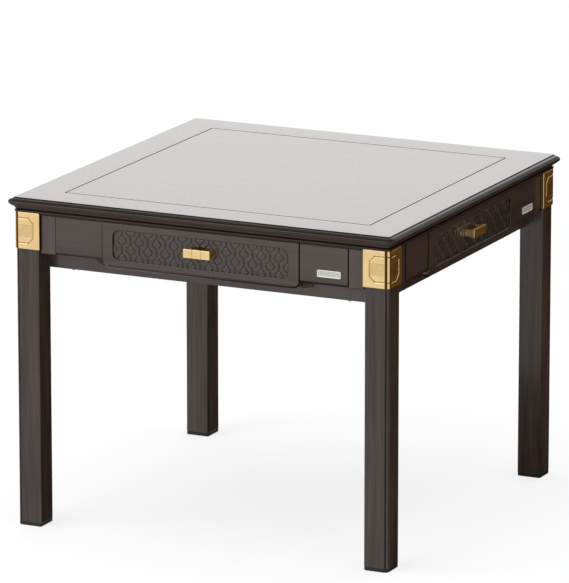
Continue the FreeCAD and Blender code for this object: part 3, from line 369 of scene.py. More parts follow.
wood = {axis: dark_wood("dark_wood_" + axis.lower(), axis) for axis in "XYZ"}
leg_wood = dark_wood("leg_wood", "Z", coat=0.4, gloss=0.32, glint=0.36, streak=95.0, contrast=0.24)
for quarters, corner in enumerate(CORNERS):
    points, faces = loft([[(x, y, z) for x, y in leg_section(inset)[0]] for inset, z in LEG_LEVELS])
    leg = new_mesh("wood_leg_" + corner, turned(points, quarters), faces, leg_wood)
    # The two hollows beside the bead carry a painted shade.
    mark(leg, leg_section(0)[1] * len(LEG_LEVELS))
    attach(leg, "root")
    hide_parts("leg_" + corner)

# ---- foot pads ----
# Black rubber pads cut to the legs' outline, their lower edge eased. They are nailed up into the
# ends of the legs and are a little scuffed.


def clouded(name, tones, broad, span, fine, gloss, relief, stretch=(1, 1, 1), drawn=(1, 1, 1), **inputs):
    """A finish whose tone follows a broad pattern, and whose gloss and relief follow a fine one."""
    material, tree, shade = shader(name)
    cloud = noise(tree, place(tree, drawn), *broad)
    grain = noise(tree, place(tree, stretch), *fine)
    colour = two_tone(tree, cloud, *tones, *span)
    fill(tree, shade, {"Base Color": colour, "Roughness": spread(tree, grain, *gloss)})
    fill(tree, shade, {"Normal": bump(tree, grain, *relief), **inputs})
    return material


def rubber(name, tone):
    """Matte black rubber with a fine pitted skin."""
    tones = ((tone,) * 3, (tone * 3.4, tone * 3.3, tone * 3.1))
    skin = {"broad": (45.0, 5.0), "span": (0.55, 0.8), "fine": (900.0, 3.0)}
    return clouded(name, tones, **skin, gloss=(0.6, 0.9), relief=(0.3, 0.0003))


def together(*parts):
    """Several sets of points and faces as one."""
    points, faces = [], []
    for more, sides in parts:
        faces += [tuple(i + len(points) for i in side) for side in sides]
        points += more
    return points, faces


def four_turned(points, faces):
    """A part and its copies on the table's other three sides."""
    return [(turned(points, quarters), faces) for quarters in range(4)]


PAD_IN, PAD_EDGE = 0.3, 0.8
PAD_LEVELS = ((PAD_IN + PAD_EDGE, 0), (PAD_IN, PAD_EDGE), (PAD_IN, LEG_FOOT))
pad = loft([[(x, y, z) for x, y in leg_section(inset)[0]] for inset, z in PAD_LEVELS])
rubber_pads = new_mesh("rubber_pads", *together(*four_turned(*pad)), rubber("foot_rubber", 0.004))
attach(rubber_pads, "root")
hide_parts("foot_pads")

# ---- dining cover ----
# A lift-off board of veneered wood. Its edge is moulded to a rounded lip with a slope over it and a
# quirk under the flat, and a line is cut into the top. High-gloss lacquer mirrors the surround.

COVER_LOW, COVER_TOP, COVER_HALF, COVER_CORNER = 745, 760, 474.5, 19
# Each row of the edge: how far in, how high, and how much painted shade; the upper part of the lip, the
# quirk under the flat and the cut line are painted dark.
COVER_EDGE = (
    (9.5, 0, 0), (2.5, 0, 0), (1.2, 0.4, 0), (0.3, 1.6, 0), (0, 3.2, 0), (0, 5, 0), (0.3, 6.2, 0),
    (0.9, 7.2, 0.2), (2.1, 8.2, 0.9), (4.1, 9.3, 0.95), (6.9, 10.8, 0.6), (9.1, 11.8, 0), (11.6, 12.9, 0),
    (12.1, 12.7, 1), (13.5, 12.9, 1), (14.8, 14.7, 1), (15.3, 15, 0),
)
LINE_OUT, LINE_IN, LINE_DEEP, LINE_SLOPE, LINE_EASE, LINE_LIP = 376, 373, 1.5, 0.5, 0.2, 0.1
# Faces turned up past SLOPE_TILT get a darker copy of the wood as a painted shade; faces past FLAT_TILT get
# the glossy top wood.
SLOPE_TILT, FLAT_TILT = 0.6, 0.97


def outline(low, high, corners, steps):
    """A rectangle with rounded corners; corners are its radii from the lower left one, anticlockwise."""
    (left, bottom), (right, top) = low, high
    a, b, c, d = corners
    return (
        arc(left + a, bottom + a, a, 180, 270, steps)
        + arc(right - b, bottom + b, b, 270, 360, steps)
        + arc(right - c, top - c, c, 0, 90, steps)
        + arc(left + d, top - d, d, 90, 180, steps)
    )


def square_ring(half, z, corner):
    """A level ring round a square with rounded corners."""
    return [(x, y, z) for x, y in outline((-half, -half), (half, half), (corner,) * 4, 8)]


def cover_rings():
    """Rings from the cover's underside out over the lip, up the slope and in across the top, with each
    point's painted shade.
    """
    rings = [
        square_ring(COVER_HALF - inset, COVER_LOW + up, COVER_CORNER - inset)
        for inset, up, _ in COVER_EDGE
    ]
    line = (
        (LINE_OUT + LINE_EASE, 0, 0), (LINE_OUT, LINE_LIP, 1), (LINE_OUT - LINE_SLOPE, LINE_DEEP, 1),
        (LINE_IN + LINE_SLOPE, LINE_DEEP, 1), (LINE_IN, LINE_LIP, 1), (LINE_IN - LINE_EASE, 0, 0),
    )
    rings += [square_ring(half, COVER_TOP - depth, 1) for half, depth, _ in line]
    dark = [shade for *_, shade in COVER_EDGE + line]
    return rings, [shade for ring, shade in zip(rings, dark) for _ in ring]


def finish(material, *names):
    """A material put on CAD nodes."""
    for name in names:
        slots = nodes[name].data.materials
        slots.clear()
        slots.append(material)


polish = {"coat": 1.0, "gloss": 0.24, "contrast": 0.8, "relief": 0.02}
# A darker copy of the wood, put on the cover's sloping faces as a painted shade.
painted_shade_slope_wood = dark_wood("painted_shade_slope_wood", "X", glint=0.06, depth=0.25, **polish)
top_wood = dark_wood("top_wood", "X", **polish)
satin = {"coat": 0.08, "gloss": 0.36, "glint": 0.2}
moulding_wood = {axis: dark_wood("moulding_wood_" + axis.lower(), axis, **satin) for axis in "XY"}
rings, dark = cover_rings()
cover = new_mesh("cover_board", *loft(rings), moulding_wood["X"])
mark(cover, dark)
cover.data.materials.append(painted_shade_slope_wood)
cover.data.materials.append(top_wood)
for face in cover.data.polygons:
    face.material_index = sum(face.normal.z > tilt for tilt in (SLOPE_TILT, FLAT_TILT))
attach(cover, "cover")
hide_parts("dining_cover")
finish(wood["X"], "cover_cleats")

# ---- top rim ----
# Four hardwood rails mitred at the corners, each with a square nose over a cove and a quirk. They are
# screwed down on the aprons and legs, and a fillet strip under each closes the joint over the boards.

RIM_LOW, RIM_TOP, RIM_HALF, RIM_IN = 728, 744.7, 469, 404
RIM_NOSE, RIM_COVE, RIM_REACH, RIM_CORNER, RIM_EASE, MITRE_GAP = 3, 6, 8.5, 14.5, 0.7, 0.12
QUIRK_LOW, QUIRK_HIGH, QUIRK_DEEP, QUIRK_SLOPE, QUIRK_LIFT, RIM_SHARP = 731.4, 735.2, 3.5, 0.4, 0.3, 0.5


def rim_profile():
    """The rail's section: distances out from the table's middle, heights and painted shade."""
    nose_low = RIM_TOP - RIM_NOSE
    shoulder = RIM_HALF - RIM_REACH
    cove = [
        (RIM_HALF + (half - RIM_HALF) * RIM_REACH / RIM_COVE, z)
        for half, z in arc(RIM_HALF, nose_low - RIM_COVE, RIM_COVE, 180, 90, 8)
    ]
    nose = arc(RIM_HALF - RIM_EASE, RIM_TOP - RIM_EASE, RIM_EASE, 0, 90, 3)
    # The quirk under the cove is painted dark, a painted shade.
    quirk = [
        (shoulder, QUIRK_LOW, 0), (shoulder - QUIRK_SLOPE, QUIRK_LOW + QUIRK_SLOPE / 2, 1),
        (shoulder - QUIRK_DEEP, QUIRK_LOW + QUIRK_SLOPE, 1),
        (shoulder - QUIRK_DEEP, QUIRK_HIGH - QUIRK_LIFT, 1), (shoulder - QUIRK_SLOPE, QUIRK_HIGH, 1),
    ]
    curves = [(half, z, 0) for half, z in cove + nose]
    return [(RIM_IN, RIM_LOW, 0), (shoulder, RIM_LOW, 0), *quirk, *curves, (RIM_IN, RIM_TOP, 0)]


def rim_point(half, z, angle, gap):
    """A point of the rail on its way round a corner."""
    corner = max(RIM_CORNER - RIM_HALF + half, RIM_SHARP)
    x = half - corner + corner * math.cos(math.radians(angle))
    y = -half + corner + corner * math.sin(math.radians(angle))
    return (x - gap, y, z)


def rim_rail_rings():
    """Sections of the front rail from its left mitre to its right one."""
    right = [
        [rim_point(half, z, angle, MITRE_GAP if angle == -45 else 0) for half, z, dark in rim_profile()]
        for angle in (-90, -75, -60, -45)
    ]
    left = [[(-x, y, z) for x, y, z in ring] for ring in right[::-1]]
    return left + right


def opposite_pairs(name, rings, shades):
    """A part on the front and back in one piece and on the sides in another, each given its painted shade
    ring by ring.
    """
    copies = four_turned(*loft(rings))
    for first, axis in enumerate("XY"):
        pair = new_mesh(name + axis.lower(), *together(*copies[first::2]), moulding_wood[axis])
        mark(pair, shades * (2 * len(rings)))
        yield pair


for rim in opposite_pairs("rim_rails_", rim_rail_rings(), [dark for *_, dark in rim_profile()]):
    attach(rim, "root")
    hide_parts("top_rim")

FILLET_END, FILLET_LOW, FILLET_FACE, FILLET_BACK = 396.4, 722.9, 457.4, 446
FILLET_EASE, FILLET_SHADE = 0.5, 0.45


def fillet_ring(x):
    """The fillet strip's section at x."""
    return [
        (x, -FILLET_FACE + FILLET_EASE, FILLET_LOW), (x, -FILLET_FACE, FILLET_LOW + FILLET_EASE),
        (x, -FILLET_FACE, RIM_LOW), (x, -FILLET_BACK, RIM_LOW), (x, -FILLET_BACK, FILLET_LOW),
    ]


# The fillet strips carry an even painted shade, as if in the shadow under the rim.
fillet = [fillet_ring(-FILLET_END), fillet_ring(FILLET_END)]
for fillets in opposite_pairs("rim_fillets_", fillet, [FILLET_SHADE] * len(fillet[0])):
    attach(fillets, "root")

# ---- apron posts and panels ----
# Flat blocks beside the caps and wider panels beside the drawers, in lacquered wood with a rounded
# lower edge. They are glued on the face of the apron boards, with a fine shadow gap between them.


def cut_back(radius, depth):
    """How far a rounded edge of this radius stands back at a depth below the face."""
    return radius - math.sqrt(radius**2 - (radius - depth) ** 2) if depth < radius else 0.0


def upright_ring(low, high, corners, y):
    """A ring round an upright rectangle at depth y."""
    return [(x, y, z) for x, z in outline(low, high, corners, 5)]


SQUARE, JOINT_NEAR, JOINT_SIDE, UNDER_SHADE, UNDER_SLOPE = 0.6, 0.5, 0.7, 0.8, 1.6
EDGE_SHARES, EASE_SHARES = (1, 0.62, 0.34, 0.16, 0.06, 0.015), (1, 0.55, 0.22, 0.05, 0)


def joint_shade(points, edges, low, top, face, lower_edge):
    """Painted shade on a board's sides and top inside the joint beside it, and painted shade growing by
    degrees round its lower edge.
    """
    shades = []
    for x, y, z in points:
        beside = z > top - JOINT_NEAR or any(abs(abs(x) - edge) < JOINT_SIDE for edge in edges)
        under = min(UNDER_SHADE, max(0.0, UNDER_SLOPE * (1 - (z - low) / lower_edge)))
        shades.append(1.0 if face + y > JOINT_NEAR and beside else under)
    return shades


def board_rings(low, high, back, face, lower_edge, corner, ease=1.4):
    """Rings of an upright board from its back to its face, its lower edge rounded and the rest eased."""
    depths = [face - back] + [lower_edge * share for share in EDGE_SHARES]
    depths += [ease * share for share in EASE_SHARES]
    rings = []
    for depth in sorted(set(depths), reverse=True):
        side, under = cut_back(ease, depth), cut_back(lower_edge, depth)
        low_corner = max(corner - side, SQUARE)
        near, far = (low[0] + side, low[1] + under), (high[0] - side, high[1] - side)
        rings.append(upright_ring(near, far, (low_corner, low_corner, SQUARE, SQUARE), depth - face))
    return rings


SIDES = ("front", "right", "back", "left")
POST = {"low": (359.5, 634), "high": (396.2, 722.5), "back": 435, "face": 453, "lower_edge": 2}
PANEL = {"low": (242.5, 634), "high": (358.5, 722.5), "back": 435, "face": 455, "lower_edge": 9}


def mirrored(part):
    """Points and faces with a copy on the other side of the middle."""
    points, faces = part
    return together(part, ([(-x, y, z) for x, y, z in points], faces))


for quarters, side in enumerate(SIDES):
    for name, board, grain, node in (
        ("panels_", PANEL, "XY"[quarters % 2], "apron_panels_" + side),
        ("posts_", POST, "Z", "apron_posts"),
    ):
        points, faces = mirrored(loft(board_rings(**board, corner=SQUARE)))
        pair = new_mesh(name + side, turned(points, quarters), faces, wood[grain])
        edges, levels = zip(board["low"], board["high"])
        # Painted shade in the joints and round the lower edge, where shadow falls.
        mark(pair, joint_shade(points, edges, *levels, board["face"], board["lower_edge"]))
        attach(pair, "root")
        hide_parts(node)

# ---- aprons, lower rails, blocks and runners ----
# Boards behind the panels with the drawer bay and its ogee ears sawn out, the set-back rails that
# close in the machine, and plain glue blocks and runners that are lacquered or left bare inside.


def plain_wood(name, dark, light):
    """Bare machined board with open grain along its length."""
    grain = along_grain("X", 0.06)
    board = {"broad": (34.0, 6.0, 0.6), "span": (0.3, 0.7), "fine": (700.0, 3.0), "relief": (0.18, 0.0003)}
    return clouded(name, (dark, light), **board, gloss=(0.55, 0.75), stretch=grain, drawn=grain)


inner_wood = plain_wood("inner_wood", (0.3, 0.2, 0.12), (0.46, 0.34, 0.22))
stained_wood = plain_wood("stained_wood", (0.022, 0.013, 0.009), (0.05, 0.032, 0.022))
finish(moulding_wood["X"], "apron_boards")
finish(wood["X"], "lower_rails")
finish(stained_wood, "corner_blocks", "drawer_runners")
finish(inner_wood, "deck_cleats")

# ---- drawers ----
# Four shallow drawers of lacquered board. The front has a rounded lower edge, round lower corners
# and a sunk field; the tray behind it is grooved at its sides and runs on strips on the aprons.

FRONT_HALF, FRONT_LOW, FRONT_TOP, FRONT_BACK, FRONT_FACE = 241, 618, 722.5, 437, 457
FRONT_EDGE, FRONT_CORNER, FRONT_EASE = 11, 18, 1.0
FIELD_HALF, FIELD_LOW, FIELD_TOP, FIELD_FLOOR, FIELD_CORNER = 215.5, 639, 708, 453, 16
FIELD_WALL = ((-0.9, 0), (-0.3, 0.3), (0, 0.9), (0, FRONT_FACE - FIELD_FLOOR))


def inset_ring(low, high, inset, corner, y):
    """An upright ring drawn in by an inset, with its four corners alike."""
    near, far = [value + inset for value in low], [value - inset for value in high]
    return upright_ring(near, far, (corner - inset,) * 4, y)


def drawer_front_rings():
    """Rings from the back of the front over its rounded edge to the floor of its sunk field."""
    rings = board_rings(
        (-FRONT_HALF, FRONT_LOW), (FRONT_HALF, FRONT_TOP), FRONT_BACK, FRONT_FACE,
        FRONT_EDGE, FRONT_CORNER, FRONT_EASE,
    )
    low, high = (-FIELD_HALF, FIELD_LOW), (FIELD_HALF, FIELD_TOP)
    field = [inset_ring(low, high, inset, FIELD_CORNER, depth - FRONT_FACE) for inset, depth in FIELD_WALL]
    return rings + field


for quarters, side in enumerate(SIDES):
    axis = "XY"[quarters % 2]
    points, faces = loft(drawer_front_rings())
    front = new_mesh("drawer_board_" + side, turned(points, quarters), faces, wood[axis])
    # Painted shade in the joints and round the lower edge, where shadow falls.
    mark(front, joint_shade(points, (FRONT_HALF,), FRONT_LOW, FRONT_TOP, FRONT_FACE, FRONT_EDGE))
    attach(front, "drawer_" + side)
    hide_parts("drawer_front_" + side)
    finish(stained_wood, "drawer_tray_" + side)

# ---- carved lattice of the drawer fronts ----
# Domed pads between upright wavy straps, cut by a router and let into the sunk field: a common
# traditional lattice. One rectangle of it is drawn and then repeated in staggered rows, and what
# falls outside the rounded field is cut off.

CELL_PITCH, CELL_ROW, CELL_ACROSS, CELL_UP, CELL_FIRST_ROW = 42.8, 20.5, 60, 29, 664
PAD_REACH, PAD_POWER, PAD_DOME, RING_AT, RING_WIDE = 9.5, 1.27, 0.4, 1.155, 0.186
WAIST_UP, WAIST_WIDE, WAIST_FADE = 10, 2.3, 3
CARVING_HIGH, CARVING_CUT, CARVING_SHADE = 1.6, 1.1, 0.68


def groove(distance, at, width):
    """1 in the middle of a groove, falling to 0 beside it."""
    return math.exp(-(((distance - at) / width) ** 2))


def cell_relief(x, y):
    """Height above the field's floor at a point of the lattice, and the painted shade in its grooves."""
    x, y = abs(x), abs(y)
    waist = groove(x, CELL_PITCH / 2, WAIST_WIDE) * min(1.0, max(0.0, (WAIST_UP - y) / WAIST_FADE))
    if x > CELL_PITCH / 4 * (1 + math.cos(math.pi * y / CELL_ROW)):
        x, y = CELL_PITCH / 2 - x, CELL_ROW - y
    pad = ((x / PAD_REACH) ** PAD_POWER + (y / PAD_REACH) ** PAD_POWER) ** (1 / PAD_POWER)
    cut = max(groove(pad, RING_AT, RING_WIDE), waist)
    return CARVING_HIGH + PAD_DOME * max(0.0, 1 - pad * pad) - CARVING_CUT * cut, CARVING_SHADE * cut


def grid_faces(across, up):
    """The four-sided faces of a grid of points."""
    wide = across + 1
    starts = [j * wide + i for j in range(up) for i in range(across)]
    return [(a, a + 1, a + wide + 1, a + wide) for a in starts]


def carved_cell():
    """One rectangle of the lattice about a pad, lying flat with its face up."""
    # depths holds each point's painted shade, which follows the grooves.
    points, depths = [], []
    for j in range(CELL_UP + 1):
        for i in range(CELL_ACROSS + 1):
            x, y = CELL_PITCH * (i / CELL_ACROSS - 0.5), CELL_ROW * (j / CELL_UP - 0.5)
            height, depth = cell_relief(x, y)
            points.append((x, y, height))
            depths.append(depth)
    cell = new_mesh("cell", points, grid_faces(CELL_ACROSS, CELL_UP), wood["X"], dense=True)
    mark(cell, depths)
    return cell


def made_by_rule(tree, inputs):
    """The plain mesh that a Geometry Nodes tree makes from its inputs."""
    host = stood("host", bpy.data.meshes.new("host"))
    rule = host.modifiers.new("rule", "NODES")
    rule.node_group = tree
    for item in tree.interface.items_tree:
        if item.in_out == "INPUT":
            rule[item.identifier] = inputs[item.name][1]
    view = bpy.context.evaluated_depsgraph_get()
    mesh = bpy.data.meshes.new_from_object(host.evaluated_get(view))
    bpy.data.objects.remove(host)
    return mesh


def lattice_rule(inputs):
    """Cells in staggered rows, cut to a rectangle with round corners."""
    tree = bpy.data.node_groups.new("lattice", "GeometryNodeTree")
    for key, (kind, _) in inputs.items():
        tree.interface.new_socket(key, in_out="INPUT", socket_type="NodeSocket" + kind)
    tree.interface.new_socket("Geometry", in_out="OUTPUT", socket_type="NodeSocketGeometry")
    given = tree.nodes.new("NodeGroupInput").outputs
    across, up = (
        sums(tree, "MULTIPLY", sums(tree, "SUBTRACT", given[count], 1.0), given[step])
        for count, step in (("Columns", "Pitch"), ("Rows", "Row Rise"))
    )
    size = {"Size X": across, "Size Y": up, "Vertices X": given["Columns"], "Vertices Y": given["Rows"]}
    grid = wire(tree, "GeometryNodeMeshGrid", size)["Mesh"]
    at = wire(tree, "SeparateXYZ", {0: wire(tree, "GeometryNodeInputPosition")[0]})
    row = sums(tree, "ROUND", sums(tree, "DIVIDE", at["Y"], given["Row Rise"]))
    odd = sums(tree, "FLOORED_MODULO", row, 2.0)
    shift = sums(tree, "MULTIPLY", odd, sums(tree, "MULTIPLY", given["Pitch"], 0.5))
    along = wire(tree, "CombineXYZ", {"X": shift})[0]
    moved = wire(tree, "GeometryNodeSetPosition", {"Geometry": grid, "Offset": along})[0]
    cell = wire(tree, "GeometryNodeObjectInfo", {"Object": given["Cell"]})["Geometry"]
    cells = wire(tree, "GeometryNodeInstanceOnPoints", {"Points": moved, "Instance": cell})[0]
    real = wire(tree, "GeometryNodeRealizeInstances", {0: cells})[0]
    squares = []
    off_centre = sums(tree, "SUBTRACT", at["Y"], given["Centre"])
    for value, half in ((at["X"], "Half Length"), (off_centre, "Half Height")):
        straight = sums(tree, "SUBTRACT", given[half], given["Corner"])
        past = sums(tree, "SUBTRACT", sums(tree, "ABSOLUTE", value), straight)
        beyond = sums(tree, "MAXIMUM", past, 0.0)
        squares.append(sums(tree, "MULTIPLY", beyond, beyond))
    away = sums(tree, "SQRT", sums(tree, "ADD", *squares))
    outside = sums(tree, "GREATER_THAN", away, given["Corner"])
    kept = wire(tree, "GeometryNodeDeleteGeometry", {"Geometry": real, "Selection": outside})[0]
    whole = wire(tree, "GeometryNodeMergeByDistance", {"Geometry": kept, "Distance": 0.00002})[0]
    finished = wire(tree, "GeometryNodeSetMaterial", {"Geometry": whole, "Material": given["Material"]})
    fill(tree, tree.nodes.new("NodeGroupOutput"), {0: finished[0]})
    return tree


TUCK, LATTICE_COLUMNS, LATTICE_ROWS = 1.2, 13, 7
EDGE_DIP, EDGE_START, EDGE_FLOOR = 1.6, 0.4, 0.3
FIELD_MIDDLE, FIELD_UP = (FIELD_TOP + FIELD_LOW) / 2 - CELL_FIRST_ROW, (FIELD_TOP - FIELD_LOW) / 2
cell = carved_cell()
inputs = {
    "Cell": ("Object", cell),
    "Columns": ("Int", LATTICE_COLUMNS),
    "Rows": ("Int", LATTICE_ROWS),
    "Pitch": ("Float", CELL_PITCH / 1000),
    "Row Rise": ("Float", CELL_ROW / 1000),
    "Half Length": ("Float", (FIELD_HALF + TUCK) / 1000),
    "Half Height": ("Float", (FIELD_UP + TUCK) / 1000),
    "Centre": ("Float", FIELD_MIDDLE / 1000),
    "Corner": ("Float", (FIELD_CORNER + TUCK) / 1000),
    "Material": ("Material", wood["X"]),
}
flat = made_by_rule(lattice_rule(inputs), inputs)
bpy.data.objects.remove(cell)


def sink_edge(mesh):
    """The lattice dips just inside the wall of its field and takes a painted shade there, but not along the
    lower one.
    """
    for vert, shade in zip(mesh.vertices, mesh.attributes["hollow"].data):
        x, y, z = vert.co * 1000
        past_x = max(abs(x) - FIELD_HALF + FIELD_CORNER, 0)
        past_y = max(abs(y - FIELD_MIDDLE) - FIELD_UP + FIELD_CORNER, 0)
        inside = (FIELD_CORNER - math.hypot(past_x, past_y) - EDGE_START) / EDGE_DIP
        if inside < 1 and (past_y <= past_x or y > FIELD_MIDDLE):
            inside = max(inside, 0)
            vert.co.z = (EDGE_FLOOR + (z - EDGE_FLOOR) * inside) / 1000
            shade.value = max(shade.value, 1 - inside)


sink_edge(flat)
lift = Matrix.Translation((0, -FIELD_FLOOR / 1000, CELL_FIRST_ROW / 1000))
upright = lift @ Matrix.Rotation(math.pi / 2, 4, "X")
for quarters, side in enumerate(SIDES):
    mesh = flat.copy()
    mesh.transform(Matrix.Rotation(quarters * math.pi / 2, 4, "Z") @ upright)
    mesh.materials[0] = wood["XY"[quarters % 2]]
    lattice = stood("carved_lattice_" + side, mesh)
    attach(lattice, "drawer_" + side)
bpy.data.meshes.remove(flat)

# ---- corner caps ----
# Folded sheets of satin brass over each corner of the apron. An eight-sided line is engraved round
# the fold, with a ribbed panel inside it on each face and a bead that carries on the leg's bead.


def brass_metal(name, light, dark, rough, metal=1.0, painted_grazing_tint=None):
    """Satin metal under tinted lacquer, with a painted shade where it is marked and a painted tint, deeper
    orange, on faces seen at a low angle.
    """
    material, tree, shade = shader(name)
    cloud = noise(tree, place(tree), 38.0, 5.0)
    grain = noise(tree, place(tree, (1, 1, 14)), 260.0, 3.0)
    tone = two_tone(tree, cloud, dark, light, 0.3, 0.62)
    rubbed = laid_over(tree, edge_wear(tree, 0.0007), tone, tuple(min(1, part * 1.15) for part in light))
    # Painted reflection: faces seen at a low angle take a deeper orange tint.
    if painted_grazing_tint:
        tilt = spread(tree, wire(tree, "LayerWeight", {"Blend": 0.5})["Facing"], 0.0, 1.0, 0.2, 0.55)
        rubbed = laid_over(tree, tilt, rubbed, painted_grazing_tint)
    # The marked painted shade darkens engraved lines, scores, sunk parts and cut ends.
    hollow = wire(tree, "Attribute", attribute_name="hollow")["Fac"]
    inputs = {
        "Base Color": laid_over(tree, hollow, rubbed, (dark[0] * 0.1, dark[1] * 0.07, dark[2] * 0.02)),
        "Roughness": spread(tree, grain, rough - 0.06, rough + 0.1),
        "Metallic": metal,
        "Normal": bump(tree, grain, 0.08, 0.0002),
    }
    fill(tree, shade, inputs)
    return material


brass = brass_metal("brass", (0.83, 0.62, 0.32), (0.78, 0.55, 0.25), 0.28, painted_grazing_tint=(0.95, 0.55, 0.12))

CAP_OUT, CAP_BACK, CAP_END, CAP_LOW, CAP_TOP, CAP_WALL, CAP_FOLD = 461.3, 452.3, 396.7, 643, 727, 3, 1.5
CAP_STEP, CAP_RISE, CAP_TURN, CAP_EASE, CAP_ROUND, END_SHADE = 0.62, 0.5, 3, 0.8, 0.6, 0.85
MARK_REACH, MARK_LOW, MARK_HIGH, MARK_CUT, MARK_WIDE, MARK_DEEP = 36.5, 656.5, 713.5, 12, 1.6, 1.5
MARK_LEVEL, LEVEL_SHADE, MARK_SHADE, FAR_OFF = 2, 0.8, 0.5, 99.0
STRIP_AT, STRIP_WIDE, STRIP_DEEP = -3.6, 3.2, 2.2
RIB_NEAR, RIB_FAR, RIB_LOW, RIB_HIGH, RIB_PITCH, RIB_DEEP = 1, 34.5, 670, 699, 2.4, 0.28
RIB_FADE, RIB_SHADE, RIBBED_SHADE = 0.8, 0.3, 0.16


def cap_outline():
    """The cap's section at the front right corner: places, outward directions, distances from the bead."""
    bead, fold = LEG_OUT - LEG_BEAD, CAP_END + CAP_FOLD
    half = [(CAP_END, y, -1.0, 0.0, CAP_OUT) for y in (-CAP_BACK, -CAP_OUT + CAP_FOLD)]
    for ax, ay in arc(0, 0, 1, 180, 270, 4)[1:-1]:
        x = fold + CAP_FOLD * ax
        half.append((x, -CAP_OUT + CAP_FOLD * (1 + ay), ax, ay, bead - x))
    steps = round((bead - fold) / CAP_STEP)
    for i in range(steps + 1):
        x = fold + (bead - fold) * i / steps
        half.append((x, -CAP_OUT, 0.0, -1.0, bead - x))
    radius = CAP_OUT - bead
    for turned_by in range(CAP_TURN, 46, CAP_TURN):
        angle = math.radians(turned_by)
        ax, ay = math.sin(angle), -math.cos(angle)
        half.append((bead + radius * ax, -bead + radius * ay, ax, ay, -radius * angle))
    return half + [(-y, -x, -ay, -ax, away) for x, y, ax, ay, away in half[-2::-1]]


def line_distance(away, z):
    """How far a point of a cap's face is from its engraved line."""
    half = (MARK_HIGH - MARK_LOW) / 2
    out, up = max(away, 0.0), abs(z - MARK_LOW - half)
    cut_off = out > MARK_REACH - MARK_CUT - 1 and up > half - MARK_CUT - 1
    return min(
        abs(up - half) if out <= MARK_REACH - MARK_CUT else FAR_OFF,
        abs(out - MARK_REACH) if up <= half - MARK_CUT else FAR_OFF,
        abs(out + up - MARK_REACH - half + MARK_CUT) * math.sqrt(0.5) if cut_off else FAR_OFF,
    )


def cap_relief(away, z):
    """How deep the cap is cut at a point, and the painted shade in the cut."""
    line = max(0.0, 1 - (line_distance(away, z) / MARK_WIDE) ** 2)
    strip = max(0.0, 1 - ((away - STRIP_AT) / STRIP_WIDE) ** 2)
    inside = min(away - RIB_NEAR, RIB_FAR - away, z - RIB_LOW, RIB_HIGH - z)
    wave = 0.5 + 0.5 * math.cos(2 * math.pi * (z - RIB_LOW) / RIB_PITCH)
    rib = min(1.0, max(0.0, inside / RIB_FADE)) * wave
    rim = CAP_ROUND * max(0.0, 1 - min(z - CAP_LOW, CAP_TOP - z) / CAP_EASE) ** 2
    level = min(z - MARK_LOW, MARK_HIGH - z) < MARK_LEVEL
    # Painted shade: level parts of the line darker than upright ones, the strip and the ribbed panel dark,
    # and the cut ends dark to hold back their reflection.
    shades = (
        line * (LEVEL_SHADE if level else MARK_SHADE),
        float(strip > 0),
        RIB_SHADE * rib + (RIBBED_SHADE if inside > 0 else 0.0),
        END_SHADE if away > CAP_OUT - 1 else 0.0,
    )
    cut = max(MARK_DEEP * line, STRIP_DEEP * strip, RIB_DEEP * rib, rim)
    return cut, min(1.0, max(shades))


def cap_mesh():
    """Points, faces and painted shade of the cap, ring by ring from its lower edge up."""
    outline = cap_outline()
    inner = CAP_OUT - CAP_WALL
    back = [(CAP_END + CAP_WALL, -CAP_BACK), (CAP_END + CAP_WALL, -inner), (LEG_OUT - LEG_BEAD, -inner)]
    back += [(-y, -x) for x, y in back[::-1]]
    rings, dark = [], []
    steps = round((CAP_TOP - CAP_LOW) / CAP_RISE)
    for j in range(steps + 1):
        z = CAP_LOW + (CAP_TOP - CAP_LOW) * j / steps
        ring = []
        for x, y, ax, ay, away in outline:
            cut, shade = cap_relief(away, z)
            ring.append((x - ax * cut, y - ay * cut, z))
            dark.append(shade)
        rings.append(ring + [(x, y, z) for x, y in back[::-1]])
        dark += [0.0] * len(back)
    return (*loft(rings), dark)


points, faces, dark = cap_mesh()
for quarters, corner in enumerate(CORNERS):
    cap = new_mesh("brass_cap_" + corner, turned(points, quarters), faces, brass, dense=True)
    mark(cap, dark)
    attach(cap, "root")
    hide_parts("corner_cap_" + corner)

# ---- drawer pulls ----
# Solid brass bars on two short feet, screwed through the drawer front. The bar is scored across
# twice, so its face reads as three blocks.

PULL_HALF, PULL_LOW, PULL_TOP, PULL_FACE, PULL_BACK, PULL_FLOOR = 32.5, 667, 687, 475, 466, 453
SCORE_AT, SCORE_WIDE, SCORE_DEEP, PULL_EASE, END_IN, END_CUT = 10.8, 0.55, 0.5, 1.1, 0.3, 0.45
FOOT_IN, FOOT_OUT, FOOT_INSET, FOOT_CORNER, FOOT_TUCK = 22, 31, 2.5, 1.0, 1


def pull_section(x, inset):
    """The bar's section at x, drawn in by an inset."""
    low, high = PULL_LOW + inset, PULL_TOP - inset
    near, far = -PULL_FACE + inset, -PULL_BACK - inset
    return [(x, y, z) for y, z in outline((near, low), (far, high), (PULL_EASE,) * 4, 4)]


def pull_parts():
    """The scored bar and its two feet."""
    stations = [(-PULL_HALF, PULL_EASE), (-PULL_HALF + END_IN, END_CUT), (-PULL_HALF + PULL_EASE, 0)]
    stations += [(-SCORE_AT - SCORE_WIDE, 0), (-SCORE_AT, SCORE_DEEP), (-SCORE_AT + SCORE_WIDE, 0)]
    stations += [(-x, inset) for x, inset in stations[::-1]]
    bar = loft([pull_section(x, inset) for x, inset in stations])
    low, high = (FOOT_IN, PULL_LOW + FOOT_INSET), (FOOT_OUT, PULL_TOP - FOOT_INSET)
    depths = (PULL_BACK + FOOT_TUCK, PULL_BACK, PULL_FLOOR)
    foot = loft([upright_ring(low, high, (FOOT_CORNER,) * 4, -y) for y in depths])
    return together(bar, mirrored(foot))


